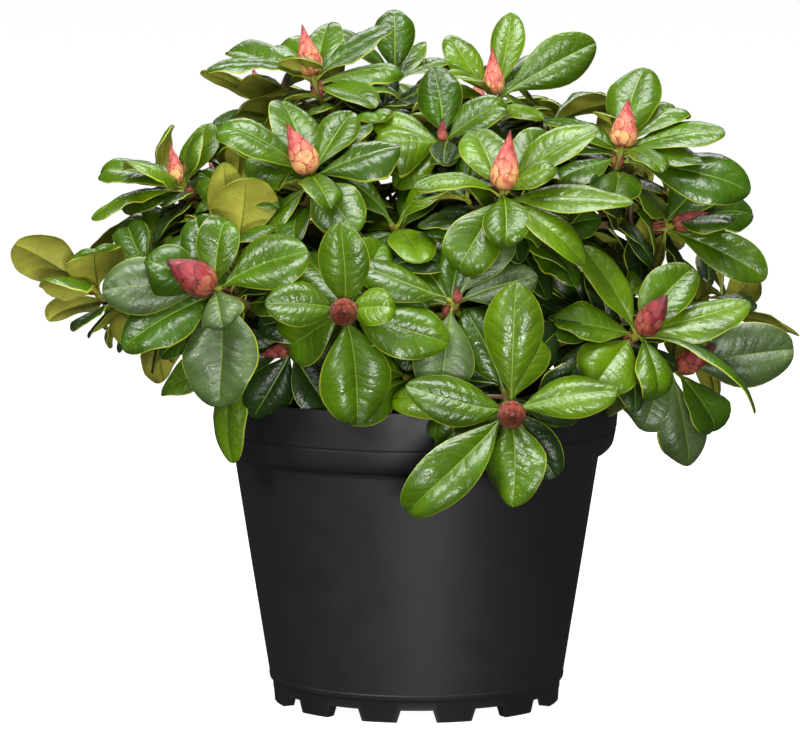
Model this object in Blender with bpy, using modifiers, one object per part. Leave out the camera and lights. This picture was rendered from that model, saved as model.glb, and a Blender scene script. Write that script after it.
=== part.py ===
"""A young rhododendron in a black nursery pot, for Blender 4.5, in metres and +Z up.

The origin is on the floor under the middle of the pot. The plant's front faces -Y. A short trunk
stands in the compost and carries one bough for each mass of foliage. A mass is one solid: twigs that
branch from one stem, each ending in a whorl of leaves and, on most, a winter bud.
"""

import math
import random
from collections import namedtuple

import bmesh
import bpy
from mathutils import Matrix, Vector
from mathutils.bvhtree import BVHTree
from mathutils.geometry import interpolate_bezier

MM = 0.001

# The pot: a 23 cm, five litre nursery pot with a ring of feet.
POT_HEIGHT = 179 * MM
RIM_RADIUS = 115.5 * MM
BASE_RADIUS = 84 * MM
NECK_RADIUS = 104 * MM
WALL = 2 * MM
GROOVE_HEIGHT = 157 * MM
NECK_HEIGHT = 142.5 * MM
STEP_HEIGHT = 13 * MM
FLOOR_HEIGHT = 12.5 * MM
FOOT_RING_WIDTH = 7 * MM
FEET = 12
NOTCH_HEIGHT = 7 * MM
NOTCH_WIDTH_LOW = 23 * MM
NOTCH_WIDTH_HIGH = 18 * MM
NOTCH_REACH = 24 * MM
POT_STEPS = 36

# The compost, a little below the rim and heaped towards the trunk.
COMPOST_EDGE = 168 * MM
COMPOST_TOP = 173 * MM
CLEARANCE = 0.3 * MM

# The trunk, from its flat foot on the compost to its fork: height and radius of each ring.
TRUNK_FOOT = Vector((0, 6, 0)) * MM
TRUNK_LEAN = Vector((-0.05, 0.04, 1))
TRUNK_RINGS = ((0, 15), (6, 11.5), (16, 9.8), (34, 8.8), (54, 7.6))
TRUNK_SIDES = 10
BOUGH_SIDES = 6
BOUGH_TIP_RADIUS = 2.8 * MM
STEM_LENGTH = 12 * MM
TWIG_RADIUS = 2.3 * MM
TWIG_SIDES = 3
TWIG_POINTS = 5
TWIG_STAGGER = 0.11 * MM

# A leaf: a thin blade on a stalk, arched along its length and with its edges turned down. Each ring
# is a part of its length and of its half width. The leaves hidden from the front have fewer rings.
LEAF_RINGS = ((0.13, 0.10), (0.50, 1.0), (0.84, 0.66))
PLAIN_LEAF_RINGS = ((0.15, 0.12), (0.60, 1.0))
PLAIN_FROM = 0.33
LEAF_THICKNESS = 0.7 * MM
LEAF_EDGE_DROP = 0.10
STALK_RADIUS = 1.2 * MM
LEAF_DROOP = 30
ROOT_DEPTH = 2 * MM
WHORL_DEPTH = 11 * MM
GOLDEN_ANGLE = 137.5
NUDGES = ((0, 0), (7, 0), (-7, 0), (0, 8), (0, -8), (14, 0), (-14, 0), (10, 14), (10, -14), (22, 0), (-22, 0))
LOWEST_LEAF = 60 * MM
SIDE_REACH = 234 * MM

Leaf = namedtuple("Leaf", "root along up length width droop rings")
Shoot = namedtuple("Shoot", "mass centre faces bud grows leaves")

# Each mass: the point where its twigs part, and where its bough leaves the trunk, as height over the
# compost and the bough's radius there. Millimetres.
MASSES = {
    "front": ((-18, -52, 226), 31, 5.0),
    "front_low": ((34, -68, 200), 13, 5.0),
    "left": ((-78, -56, 222), 12, 5.2),
    "far_left": ((-116, -12, 228), 24, 4.8),
    "upper_left": ((-66, -26, 262), 36, 4.6),
    "top_left": ((-36, 24, 304), 45, 4.0),
    "top_right": ((30, 6, 296), 53, 4.2),
    "upper_front": ((38, -46, 262), 46, 4.2),
    "upper_right": ((80, -8, 266), 39, 4.6),
    "right": ((76, -42, 212), 26, 5.0),
    "back_right": ((84, 62, 236), 15, 5.2),
    "back": ((2, 86, 250), 30, 5.0),
    "back_left": ((-78, 66, 238), 14, 5.2),
}

# The shoots that show from the front. Each has its whorl's centre in millimetres, the way the whorl
# faces, its bud (length, width), the way it grows, and its leaves. A leaf is told as the eye sees it
# from the front: the angle it points at, as on a clock face but from the right and anticlockwise, how
# far it leans towards the eye, its length and its width. Some also have a droop of their own, and how
# far their top is turned from the sky, 0, to the eye, 1, instead of facing as the whorl does.
FRONT_SHOOTS = (
    Shoot("top_left", (-59, 0, 357), (-0.05, -0.35, 1), (30, 15), (-0.2, -0.05, 1), (
        (125, 60, 32, 26), (173, 15, 66, 30), (34, -20, 58, 26), (78, -45, 50, 24), (161, -25, 62, 26),
        (11, 0, 56, 25), (137, -50, 58, 26), (-12, 40, 48, 24), (215, -20, 46, 24))),
    Shoot("top_left", (-11, 45, 354), (0, -0.2, 1), None, (0.05, -0.1, 1), (
        (91, -12, 46, 24), (139, -5, 48, 22), (-45, 50, 44, 24), (20, -35, 50, 24), (60, -55, 50, 24),
        (190, -40, 52, 24))),
    Shoot("top_right", (44, 5, 346), (0, -0.3, 1), (27, 13), (-0.05, -0.05, 1), (
        (150, 40, 40, 22), (78, -22, 56, 20, 20, 0.6), (122, 5, 50, 20, 20, 0.8), (30, -3, 70, 29, 24, 0.75),
        (39, -35, 56, 24),
        (153, 12, 52, 21, 75), (-8, 35, 38, 20), (205, -40, 50, 24))),
    Shoot("upper_right", (115, -40, 320), (0.05, -0.45, 1), (28, 16), (0.12, -0.1, 1), (
        (-25, 50, 40, 22), (72, -28, 55, 31), (48, -18, 57, 28), (155, -10, 49, 25), (12, 0, 63, 27),
        (3, 17, 50, 22), (168, -32, 46, 24), (196, 25, 46, 26), (-12, 5, 80, 36, 30, 0.45))),
    Shoot("upper_left", (-59, -80, 309), (-0.05, -0.6, 0.85), (32, 17), (-0.42, -0.2, 0.9), (
        (-52, 55, 38, 26), (112, -35, 55, 29), (148, 5, 63, 31), (57, -25, 51, 23), (27, 3, 56, 29),
        (-48, 33, 47, 31), (162, -40, 52, 26), (225, -15, 46, 26))),
    Shoot("upper_front", (47, -100, 301), (0.05, -0.6, 0.85), (34, 17), (0.12, -0.15, 1), (
        (28, 22, 38, 20), (272, 45, 42, 26), (115, -35, 47, 28), (35, -5, 67, 27), (237, 25, 56, 31, 30, 0.8),
        (52, -35, 56, 27), (172, 10, 56, 20, 80, 0), (-30, 25, 64, 32, 55), (-5, 6, 76, 31))),
    Shoot("top_right", (14, -45, 324), (0, -0.6, 0.85), (13, 6), (0.05, -0.1, 1), (
        (98, -15, 44, 26), (33, 0, 47, 25), (178, 20, 48, 31), (150, -5, 46, 25), (215, 15, 40, 24),
        (15, -32, 42, 22))),
    Shoot("left", (-112, -115, 248), (-0.3, -0.85, 0.45), (33, 20), (-0.75, -0.4, 0.52), (
        (-75, 50, 34, 26), (82, -8, 46, 24), (23, 5, 58, 36), (153, 18, 50, 29), (110, -12, 51, 27),
        (178, 8, 68, 33), (208, 10, 66, 33), (268, 12, 66, 43))),
    Shoot("left", (-101, -70, 262), (0.1, 0.7, 0.7), None, (0.1, -0.1, 1), (
        (82, 20, 52, 38), (99, 5, 58, 22), (40, -25, 46, 26), (140, -35, 50, 26))),
    Shoot("front", (-40, -125, 236), (0, -0.95, 0.3), (27, 16), (0, -1, 0.1), (
        (8, 25, 35, 22), (93, 10, 53, 28), (173, 15, 48, 27), (276, 5, 65, 39), (-17, 3, 62, 33),
        (60, -30, 50, 30), (215, -25, 52, 31), (130, -35, 48, 28))),
    Shoot("front", (22, -115, 241), (0, -0.8, 0.6), (10, 6), (0, -0.4, 1), (
        (50, -10, 52, 23), (158, 0, 63, 26), (22, 5, 51, 26), (262, 10, 55, 34), (168, -16, 55, 31),
        (140, -22, 48, 29), (75, -30, 50, 26), (-30, -25, 50, 28))),
    Shoot("front_low", (51, -141, 182), (0, -0.97, 0.25), (27, 16), (0, -1, 0.08), (
        (88, 2, 75, 33), (165, 5, 62, 28), (12, 6, 62, 26), (271, 18, 56, 35), (222, 21, 88, 30),
        (176, -14, 70, 27), (200, -16, 50, 28), (72, -28, 54, 28))),
    Shoot("right", (124, -90, 221), (0.35, -0.75, 0.6), (30, 16), (0.45, -0.45, 0.75), (
        (-72, 30, 48, 26), (48, -20, 52, 28, 30, 0.7), (122, -5, 60, 30), (22, 0, 70, 31, 20, 0.6),
        (168, 12, 50, 25, 40), (228, 42, 44, 36, 30, 0.9), (-8, 6, 90, 24, 80, 0))),
    Shoot("right", (146, -60, 197), (0.4, -0.65, 0.6), (28, 14), (0.75, -0.35, 0.5), (
        (8, -6, 70, 36, 24, 0.7), (-54, 10, 50, 29), (-78, 5, 60, 30), (250, 25, 42, 34), (205, 0, 46, 26))),
    Shoot("upper_right", (146, -8, 272), (0.35, -0.4, 0.85), (22, 11), (0.85, -0.15, 0.35), (
        (8, 34, 42, 25), (130, 30, 44, 26), (250, -24, 48, 25), (20, -10, 58, 30), (44, -22, 56, 28),
        (-25, 4, 70, 28, 25, 0.5))),
    Shoot("upper_left", (-135, 0, 296), (-0.2, -0.5, 0.85), (24, 10), (-0.2, -0.1, 1), (
        (152, 42, 46, 33), (70, 28, 40, 27), (75, -22, 45, 28), (157, -5, 58, 26, 50),
        (182, 5, 60, 25, 50, 0), (168, -32, 48, 22), (192, -22, 46, 21))),
    Shoot("far_left", (-180, -45, 238), (-0.3, 0.6, 0.75), (22, 9), (-0.5, 0.1, 0.85), (
        (92, 38, 44, 34), (152, 18, 60, 35), (158, 38, 46, 28), (200, -30, 46, 26))),
    Shoot("far_left", (-152, -12, 246), (-0.1, -0.5, 0.8), None, (-0.4, 0, 1), (
        (98, -22, 54, 32), (60, -20, 50, 28), (160, -40, 54, 28), (215, -20, 50, 28))),
    Shoot("front", (-71, -85, 211), (0, -0.8, 0.4), (20, 9), (-0.7, -0.5, -0.1), (
        (-57, 5, 47, 27), (240, 0, 50, 27), (195, -12, 52, 24), (120, -15, 46, 26))),
    Shoot("right", (100, -44, 224), (0, -0.7, 0.6), None, (0.4, -0.3, 0.7), (
        (117, 2, 58, 25), (-75, 3, 50, 29), (150, 5, 50, 27), (215, -5, 52, 28), (-35, -25, 50, 28))),
)

# The shoots inside the crown and round its back: mass, whorl's centre, bud or None. Their leaves
# come from one seeded rule.
OTHER_SHOOTS = (
    ("top_left", (-86, 60, 334), (26, 14)),
    ("top_right", (78, 48, 326), None),
    ("upper_left", (-94, -38, 282), None),
    ("upper_front", (-14, -62, 276), None),
    ("upper_front", (66, -62, 268), None),
    ("left", (-106, -70, 200), None),
    ("right", (128, -8, 240), None),
    ("front_low", (-6, -98, 196), None),
    ("upper_right", (148, 48, 286), (28, 14)),
    ("upper_right", (66, 20, 284), None),
    ("top_left", (-50, 44, 300), None),
    ("back_right", (180, 88, 210), (26, 13)),
    ("back_right", (112, 100, 262), (30, 15)),
    ("back_right", (96, 118, 204), None),
    ("back_right", (104, 88, 308), (28, 14)),
    ("back", (30, 131, 232), (28, 15)),
    ("back", (-28, 124, 290), (32, 16)),
    ("back", (34, 100, 326), (26, 14)),
    ("back", (-38, 128, 196), None),
    ("back", (20, 84, 278), None),
    ("back_left", (-98, 110, 216), (28, 14)),
    ("back_left", (-108, 84, 284), (30, 15)),
    ("back_left", (-152, 58, 218), (26, 13)),
    ("back_left", (-148, 40, 282), None),
    ("back_left", (-46, 82, 336), (26, 13)),
    ("back_left", (-62, 98, 244), None),
    ("upper_left", (-92, 22, 300), None),
    ("top_left", (-26, 4, 326), None),
    ("upper_right", (108, 26, 302), None),
    ("upper_left", (-60, -30, 292), None),
)
LEAVES_BY_RULE = 7
RULE_LENGTHS = (50, 64)
RULE_WIDTH = 0.47
RULE_RISE = (38, -14)
CROWN_MIDDLE = Vector((0, 8, 190)) * MM
SEED = 11
SHARP_ANGLE = 35


def clear_scene():
    for obj in list(bpy.data.objects):
        bpy.data.objects.remove(obj)


def new_collection(name):
    collection = bpy.data.collections.new(name)
    bpy.context.scene.collection.children.link(collection)
    return collection


def material(name, colour, roughness):
    made = bpy.data.materials.new(name)
    made.use_nodes = True
    shader = made.node_tree.nodes["Principled BSDF"]
    shader.inputs["Base Color"].default_value = (*colour, 1)
    shader.inputs["Roughness"].default_value = roughness
    shader.inputs["Metallic"].default_value = 0.0
    return made


def object_from(bm, name, collection, surface=None):
    mesh = bpy.data.meshes.new(name)
    bm.to_mesh(mesh)
    bm.free()
    obj = bpy.data.objects.new(name, mesh)
    collection.objects.link(obj)
    if surface:
        mesh.materials.append(surface)
    return obj


def apply_modifiers(obj):
    evaluated = obj.evaluated_get(bpy.context.evaluated_depsgraph_get())
    made = bpy.data.meshes.new_from_object(evaluated)
    obj.modifiers.clear()
    obj.data = made


def shade(obj):
    """Smooth over the facets of what is round, and sharp along its real edges."""
    obj.data.shade_smooth()
    obj.data.set_sharp_from_angle(angle=math.radians(SHARP_ANGLE))


def turned(name, profile, steps, collection, surface):
    """A profile of (radius, height) points, turned round the Z axis."""
    bm = bmesh.new()
    line = [bm.verts.new((radius, 0, height)) for radius, height in profile]
    for low, high in zip(line, line[1:]):
        bm.edges.new((low, high))
    obj = object_from(bm, name, collection, surface)
    screw = obj.modifiers.new("Turn", "SCREW")
    screw.steps = screw.render_steps = steps
    screw.use_merge_vertices = True
    screw.merge_threshold = 0.00005
    return obj


def face_outward(bm):
    bm.normal_update()
    bmesh.ops.recalc_face_normals(bm, faces=bm.faces)


def swept(points, radii, sides, leaves=None, arrives=None):
    """A tapering limb: a ring carried along a path by extruding its end face, with flat ends.

    The ends are square to the path, or to the ways given for leaving and arriving.
    """
    ways = [(after - before).normalized() for before, after in zip(points, points[1:])]
    between = [(a + b).normalized() for a, b in zip(ways, ways[1:])]
    ways = [leaves or ways[0], *between, arrives or ways[-1]]
    turn = ways[0].to_track_quat("Z", "X")
    places = []
    for index, (point, radius) in enumerate(zip(points, radii)):
        if index:
            turn = ways[index - 1].rotation_difference(ways[index]) @ turn
        places.append(Matrix.LocRotScale(point, turn, Vector((radius, radius, radius))))
    bm = bmesh.new()
    bmesh.ops.create_circle(bm, cap_ends=True, segments=sides, radius=1, matrix=places[0])
    end = bm.faces[:]
    for before, after in zip(places, places[1:]):
        made = bmesh.ops.extrude_face_region(bm, geom=end)["geom"]
        if before is not places[0]:
            bmesh.ops.delete(bm, geom=[face for face in end if face.is_valid], context="FACES_ONLY")
        moved = [part for part in made if isinstance(part, bmesh.types.BMVert)]
        bmesh.ops.transform(bm, matrix=after @ before.inverted(), verts=moved)
        end = [part for part in made if isinstance(part, bmesh.types.BMFace)]
    face_outward(bm)
    return bm


def path(start, start_way, finish, finish_way, count):
    """Points along a smooth limb that leaves one way and arrives another."""
    reach = (finish - start).length
    return interpolate_bezier(
        start, start + start_way.normalized() * reach * 0.38,
        finish - finish_way.normalized() * reach * 0.34, finish, count,
    )


def tapered(first, last, count):
    return [first + (last - first) * step / (count - 1) for step in range(count)]


def build_pot(parts, cutters):
    inner_neck = NECK_RADIUS - WALL
    profile = (
        (0, FLOOR_HEIGHT),
        (BASE_RADIUS - WALL, FLOOR_HEIGHT),
        (inner_neck, NECK_HEIGHT),
        (RIM_RADIUS - 4.5 * MM, NECK_HEIGHT + 5 * MM),
        (RIM_RADIUS - 2.6 * MM, POT_HEIGHT - 1 * MM),
        (RIM_RADIUS - 1.8 * MM, POT_HEIGHT),
        (RIM_RADIUS - 0.5 * MM, POT_HEIGHT),
        (RIM_RADIUS, POT_HEIGHT - 1 * MM),
        (RIM_RADIUS - 1.5 * MM, GROOVE_HEIGHT + 0.8 * MM),
        (RIM_RADIUS - 2.3 * MM, GROOVE_HEIGHT),
        (RIM_RADIUS - 1.7 * MM, GROOVE_HEIGHT - 0.9 * MM),
        (RIM_RADIUS - 2.9 * MM, NECK_HEIGHT + 7 * MM),
        (RIM_RADIUS - 5.6 * MM, NECK_HEIGHT + 3 * MM),
        (NECK_RADIUS, NECK_HEIGHT),
        (BASE_RADIUS, STEP_HEIGHT),
        (BASE_RADIUS - 1.7 * MM, STEP_HEIGHT - 0.6 * MM),
        (BASE_RADIUS - 2.4 * MM, 0),
        (BASE_RADIUS - 2.4 * MM - FOOT_RING_WIDTH, 0),
        (BASE_RADIUS - 3.4 * MM - FOOT_RING_WIDTH, FLOOR_HEIGHT - WALL),
        (0, FLOOR_HEIGHT - WALL),
    )
    black = material("black_plastic", (0.028, 0.028, 0.030), 0.5)
    pot = turned("pot", profile, POT_STEPS, parts, black)
    bm = bmesh.new()
    for index in range(FEET):
        made = bmesh.ops.create_cube(bm, size=1)["verts"]
        for vert in made:
            high = vert.co.z > 0
            vert.co.x = BASE_RADIUS - 6 * MM + vert.co.x * NOTCH_REACH
            vert.co.y *= NOTCH_WIDTH_HIGH if high else NOTCH_WIDTH_LOW
            vert.co.z = NOTCH_HEIGHT if high else -1 * MM
        turn = Matrix.Rotation(math.tau * index / FEET - math.pi / 2, 4, "Z")
        bmesh.ops.transform(bm, matrix=turn, verts=made)
    notches = object_from(bm, "foot_notches", cutters)
    cut = pot.modifiers.new("Notches", "BOOLEAN")
    cut.object = notches
    return pot


def build_compost(parts):
    inside = WALL + CLEARANCE * 2
    profile = (
        (0, COMPOST_TOP),
        (24 * MM, COMPOST_TOP),
        (70 * MM, COMPOST_TOP - 2 * MM),
        (RIM_RADIUS - 4 * MM, COMPOST_EDGE),
        (RIM_RADIUS - 5.9 * MM, NECK_HEIGHT + 4.8 * MM),
        (NECK_RADIUS - inside, NECK_HEIGHT + 0.4 * MM),
        (BASE_RADIUS - inside, FLOOR_HEIGHT + CLEARANCE),
        (0, FLOOR_HEIGHT + CLEARANCE),
    )
    return turned("compost", profile, POT_STEPS // 2, parts, material("compost", (0.045, 0.024, 0.016), 0.95))


def trunk_point(height):
    """The middle of the trunk at a height over the compost."""
    foot = TRUNK_FOOT + Vector((0, 0, COMPOST_TOP + CLEARANCE))
    return foot + TRUNK_LEAN * height * MM


def trunk_solid(extra):
    """The trunk, or with some extra all round the clearance that boughs are cut back to."""
    top = TRUNK_RINGS[-1][0] + extra / MM
    heights = [height for height, _ in TRUNK_RINGS[:-1]] + [top]
    points = [trunk_point(height) for height in heights]
    radii = [radius * MM + extra for _, radius in TRUNK_RINGS]
    return swept(points, radii, TRUNK_SIDES, leaves=Vector((0, 0, 1)))


def mass_frame(name):
    """Where a mass's twigs part, and the way its stem runs there."""
    hub, height, _ = MASSES[name]
    hub = Vector(hub) * MM
    way = hub - trunk_point(height)
    return hub, (way.normalized() + Vector((0, 0, 0.35))).normalized()


def build_limbs(parts, cutters, bark):
    """The trunk, and one bough for each mass, from the trunk's side to the foot of its stem."""
    trunk = object_from(trunk_solid(0), "trunk", parts, bark)
    around = object_from(trunk_solid(CLEARANCE), "trunk_clearance", cutters)
    boughs = []
    for name, (_, height, radius) in MASSES.items():
        hub, way = mass_frame(name)
        start = trunk_point(height)
        finish = hub - way * (STEM_LENGTH + CLEARANCE)
        steep = 2.2 if height > 50 else 0.55
        out = finish - start
        out = Vector((out.x, out.y, 0)).normalized() + Vector((0, 0, steep))
        points = path(start, out, finish, way, 7)
        solid = swept(points, tapered(radius * MM, BOUGH_TIP_RADIUS, 7), BOUGH_SIDES, arrives=way)
        bough = object_from(solid, "bough_" + name, parts, bark)
        cut = bough.modifiers.new("Seat", "BOOLEAN")
        cut.object = around
        boughs.append(bough)
    return [trunk, *boughs]


def across_eye(clock, towards):
    """The way a leaf points: an angle in the picture seen from the front, and a lean to the eye."""
    clock, towards = math.radians(clock), math.radians(towards)
    return Vector((
        math.cos(towards) * math.cos(clock), -math.sin(towards), math.cos(towards) * math.sin(clock)))


def back_from_end(points, distance):
    """The point on a path that lies this far before its end."""
    for after, before in zip(points[::-1], points[-2::-1]):
        step = (after - before).length
        if distance <= step:
            return after.lerp(before, distance / step)
        distance -= step
    return points[0]


def leaf_at(twig_points, order, told, rings):
    """A leaf on the whorl's stem. The first leaves stand highest, next to the bud."""
    along, length, width, droop, faces = told
    root = back_from_end(twig_points, (0.3 + 0.8 * order) * WHORL_DEPTH) - along * ROOT_DEPTH
    up = (faces - along * faces.dot(along)).normalized()
    return Leaf(root, along, up, length * MM, width * MM, math.radians(droop), rings)


def spine(leaf, part):
    """The midrib at a part of the leaf's length: the point, the way along, and the way up."""
    first = leaf.droop / 2
    angle = first - leaf.droop * part
    ahead = (math.sin(first) - math.sin(angle)) / leaf.droop * leaf.length
    rise = (math.cos(angle) - math.cos(first)) / leaf.droop * leaf.length
    point = leaf.root + leaf.along * ahead + leaf.up * rise
    along = leaf.along * math.cos(angle) + leaf.up * math.sin(angle)
    return point, along, leaf.up * math.cos(angle) - leaf.along * math.sin(angle)


def leaf_solid(leaf):
    """A sphere of three meridians drawn out along the leaf: its midrib on top and its two edges."""
    bm = bmesh.new()
    rings = ((0, 0), *leaf.rings, (1, 0))
    bmesh.ops.create_uvsphere(bm, u_segments=3, v_segments=len(rings) - 1, radius=1)
    for vert in bm.verts:
        ring = round(math.acos(max(-1, min(1, vert.co.z))) / math.pi * (len(rings) - 1))
        part, wide = rings[ring]
        point, _, up = spine(leaf, part)
        if wide:
            edge = round(vert.co.x / math.hypot(vert.co.x, vert.co.y) / math.sin(math.radians(60)))
            half = max(wide * leaf.width / 2, STALK_RADIUS)
            thick = STALK_RADIUS if wide < 0.2 else LEAF_THICKNESS / 2
            drop = LEAF_EDGE_DROP * half if wide > 0.2 else 0
            side = leaf.along.cross(leaf.up)
            point = point + (side * half * edge - up * (thick + drop) if edge else up * thick)
        vert.co = point
    face_outward(bm)
    return bm


def bud_solid(centre, grows, length, width):
    """A pointed ovoid: a small sphere drawn out along the shoot."""
    bm = bmesh.new()
    place = Matrix.LocRotScale(centre, grows.to_track_quat("Z", "X"), None)
    bmesh.ops.create_uvsphere(bm, u_segments=4, v_segments=4, radius=1)
    for vert in bm.verts:
        part = (vert.co.z + 1) / 2
        slim = 1 - 0.35 * part
        vert.co = (
            vert.co.x * width * MM / 2 * slim * 1.12, vert.co.y * width * MM / 2 * slim * 1.12,
            part * length * MM - 1 * MM,
        )
    bmesh.ops.transform(bm, matrix=place, verts=bm.verts)
    return bm


def tree_of(bm, but_root=None):
    """A search tree of the mesh, without the faces that meet the root where one is given."""
    bm.verts.index_update()
    points = [vert.co.copy() for vert in bm.verts]
    faces = [[vert.index for vert in face.verts] for face in bm.faces]
    if but_root:
        root = min(range(len(points)), key=lambda index: (points[index] - but_root).length)
        faces = [face for face in faces if root not in face]
    return BVHTree.FromPolygons(points, faces)


class Crown:
    """What is already grown, so that each new leaf can be kept clear of it."""

    def __init__(self, limbs):
        self.limbs = limbs
        self.grown = []

    def clear_of(self, shoot, leaf, bm):
        whole, blade = tree_of(bm), tree_of(bm, leaf.root)
        for point in (vert.co for vert in bm.verts):
            if point.z < LOWEST_LEAF or abs(point.x) > SIDE_REACH:
                return None
        if any(tree.overlap(whole) for tree in self.limbs):
            return None
        middle = spine(leaf, 0.5)[0]
        for other in self.grown:
            if (other["middle"] - middle).length > (other["reach"] + leaf.length) * 0.6:
                continue
            if other["shoot"] != shoot:
                hit = other["whole"].overlap(whole)
            else:
                hit = other["blade"] and other["blade"].overlap(blade)
            if hit:
                return None
        return {"shoot": shoot, "middle": middle, "reach": leaf.length, "whole": whole, "blade": blade}


def nudged(leaf, pitch, turn):
    """The same leaf, lifted or turned a little about its root."""
    side = leaf.along.cross(leaf.up)
    spin = Matrix.Rotation(math.radians(turn), 3, leaf.up) @ Matrix.Rotation(math.radians(-pitch), 3, side)
    return leaf._replace(along=spin @ leaf.along, up=spin @ leaf.up)


def leaves_by_rule(faces, rng):
    """A whorl set by the golden angle, from upright young leaves to the spread old ones."""
    first = faces.orthogonal().normalized()
    second = faces.cross(first)
    turn = rng.uniform(0, 360)
    for index in range(LEAVES_BY_RULE):
        part = index / (LEAVES_BY_RULE - 1)
        angle = math.radians(turn + GOLDEN_ANGLE * index + rng.uniform(-9, 9))
        rise = math.radians(RULE_RISE[0] + (RULE_RISE[1] - RULE_RISE[0]) * part + rng.uniform(-7, 7))
        along = (first * math.cos(angle) + second * math.sin(angle)) * math.cos(rise) + faces * math.sin(rise)
        length = rng.uniform(*RULE_LENGTHS) * (0.86 + 0.14 * part)
        yield along, length, length * RULE_WIDTH * rng.uniform(0.9, 1.12), rng.uniform(20, 44), faces


def told_leaf(faces, clock, towards, length, width, droop=LEAF_DROOP, to_eye=None):
    """A leaf told as the eye sees it: its way, length, width, droop and the way its top faces."""
    if to_eye is not None:
        faces = Vector((0, -to_eye, 1 - to_eye)).normalized()
    return across_eye(clock, towards), length, width, droop, faces


def all_shoots():
    """Every shoot with its leaves as (way, length, width, droop, faces), front ones first."""
    rng = random.Random(SEED)
    for mass, centre, faces, bud, grows, leaves in FRONT_SHOOTS:
        faces = Vector(faces).normalized()
        told = [told_leaf(faces, *leaf) for leaf in leaves]
        yield Shoot(mass, Vector(centre) * MM, faces, bud, Vector(grows).normalized(), told)
    for mass, centre, bud in OTHER_SHOOTS:
        centre = Vector(centre) * MM
        out = (centre - CROWN_MIDDLE).normalized()
        grows = (out + Vector((0, 0, 0.45))).normalized()
        told = list(leaves_by_rule(grows, rng))
        yield Shoot(mass, centre, grows, bud, grows, told)


def stem_solid(name):
    """The short stem on which all of a mass grows. It starts just clear of its bough's tip."""
    hub, way = mass_frame(name)
    return swept([hub - way * STEM_LENGTH, hub + way * 3 * MM], [BOUGH_TIP_RADIUS * 0.9] * 2, TWIG_SIDES)


def grow_masses(limbs, parts, green):
    """Twigs first, then each shoot's leaves where nothing is in their way, then one solid a mass."""
    stems = {name: stem_solid(name) for name in MASSES}
    crown = Crown([tree_of(solid) for solid in (*limbs, *stems.values())])
    pieces = {name: [] for name in MASSES}
    shoots = list(all_shoots())
    paths = []
    for index, shoot in enumerate(shoots):
        hub, way = mass_frame(shoot.mass)
        start = hub - way * (2 * MM + index * TWIG_STAGGER)
        points = path(start, way, shoot.centre + shoot.grows * 2 * MM, shoot.grows, TWIG_POINTS)
        paths.append(points)
        twig = swept(points, tapered(TWIG_RADIUS * 1.15, TWIG_RADIUS * 0.9, TWIG_POINTS), TWIG_SIDES)
        crown.grown.append({"shoot": index, "middle": (points[0] + points[-1]) / 2,
                            "reach": (points[0] - points[-1]).length + 30 * MM,
                            "whole": tree_of(twig), "blade": None})
        pieces[shoot.mass].append(twig)
        if shoot.bud:
            bud = bud_solid(shoot.centre, shoot.grows, *shoot.bud)
            crown.grown.append({"shoot": index, "middle": shoot.centre, "reach": 40 * MM,
                                "whole": tree_of(bud), "blade": None})
            pieces[shoot.mass].append(bud)
    skipped = 0
    for index, shoot in enumerate(shoots):
        for order, leaf in enumerate(shoot.leaves):
            shows = index < len(FRONT_SHOOTS) and leaf[0].y < PLAIN_FROM
            rings = LEAF_RINGS if shows else PLAIN_LEAF_RINGS
            told = leaf_at(paths[index], order / len(shoot.leaves), leaf, rings)
            for pitch, turn in NUDGES:
                leaf = nudged(told, pitch, turn)
                bm = leaf_solid(leaf)
                grown = crown.clear_of(index, leaf, bm)
                if grown:
                    crown.grown.append(grown)
                    pieces[shoot.mass].append(bm)
                    break
                bm.free()
            else:
                skipped += 1
    print(f"{sum(len(found) for found in pieces.values())} twigs, buds and leaves, {skipped} leaves left out")
    for name, found in pieces.items():
        fuse_mass(name, stems[name], found, parts, green)


def fuse_mass(name, stem, found, parts, green):
    """One Boolean union of a mass's stem with its twigs, buds and leaves."""
    mass = object_from(stem, "foliage_" + name, parts)
    loose = new_collection("to_fuse")
    for index, bm in enumerate(found):
        object_from(bm, f"piece_{index}", loose)
    join = mass.modifiers.new("Join", "BOOLEAN")
    join.operation = "UNION"
    join.operand_type = "COLLECTION"
    join.collection = loose
    apply_modifiers(mass)
    mass.data.materials.clear()
    mass.data.materials.append(green)
    for piece in list(loose.objects):
        bpy.data.objects.remove(piece)
    bpy.data.collections.remove(loose)
    keep_one_shell(mass)


def shells_of(bm):
    """The mesh's separate surfaces, each as a set of its vertices."""
    left = set(bm.verts)
    while left:
        first = left.pop()
        shell, front = {first}, [first]
        while front:
            vert = front.pop()
            near = {edge.other_vert(vert) for edge in vert.link_edges} & left
            left -= near
            shell |= near
            front.extend(near)
        yield shell


def keep_one_shell(obj):
    """Fills any sealed hollow and drops any loose scrap, by keeping the largest shell."""
    bm = bmesh.new()
    bm.from_mesh(obj.data)
    largest = max(shells_of(bm), key=len)
    bmesh.ops.delete(bm, geom=[vert for vert in bm.verts if vert not in largest])
    bm.to_mesh(obj.data)
    bm.free()
    shade(obj)


def main():
    clear_scene()
    parts = new_collection("potted_rhododendron")
    cutters = new_collection("cutters")
    pot = build_pot(parts, cutters)
    compost = build_compost(parts)
    bark = material("bark", (0.16, 0.11, 0.07), 0.85)
    green = material("leaf", (0.05, 0.13, 0.02), 0.4)
    limbs = build_limbs(parts, cutters, bark)
    for cutter in cutters.objects:
        cutter.hide_render = True
        cutter.display_type = "WIRE"
    solids = []
    for obj in (pot, compost, *limbs):
        apply_modifiers(obj)
        shade(obj)
        bm = bmesh.new()
        bm.from_mesh(obj.data)
        solids.append(bm)
    grow_masses(solids, parts, green)


main()
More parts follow.
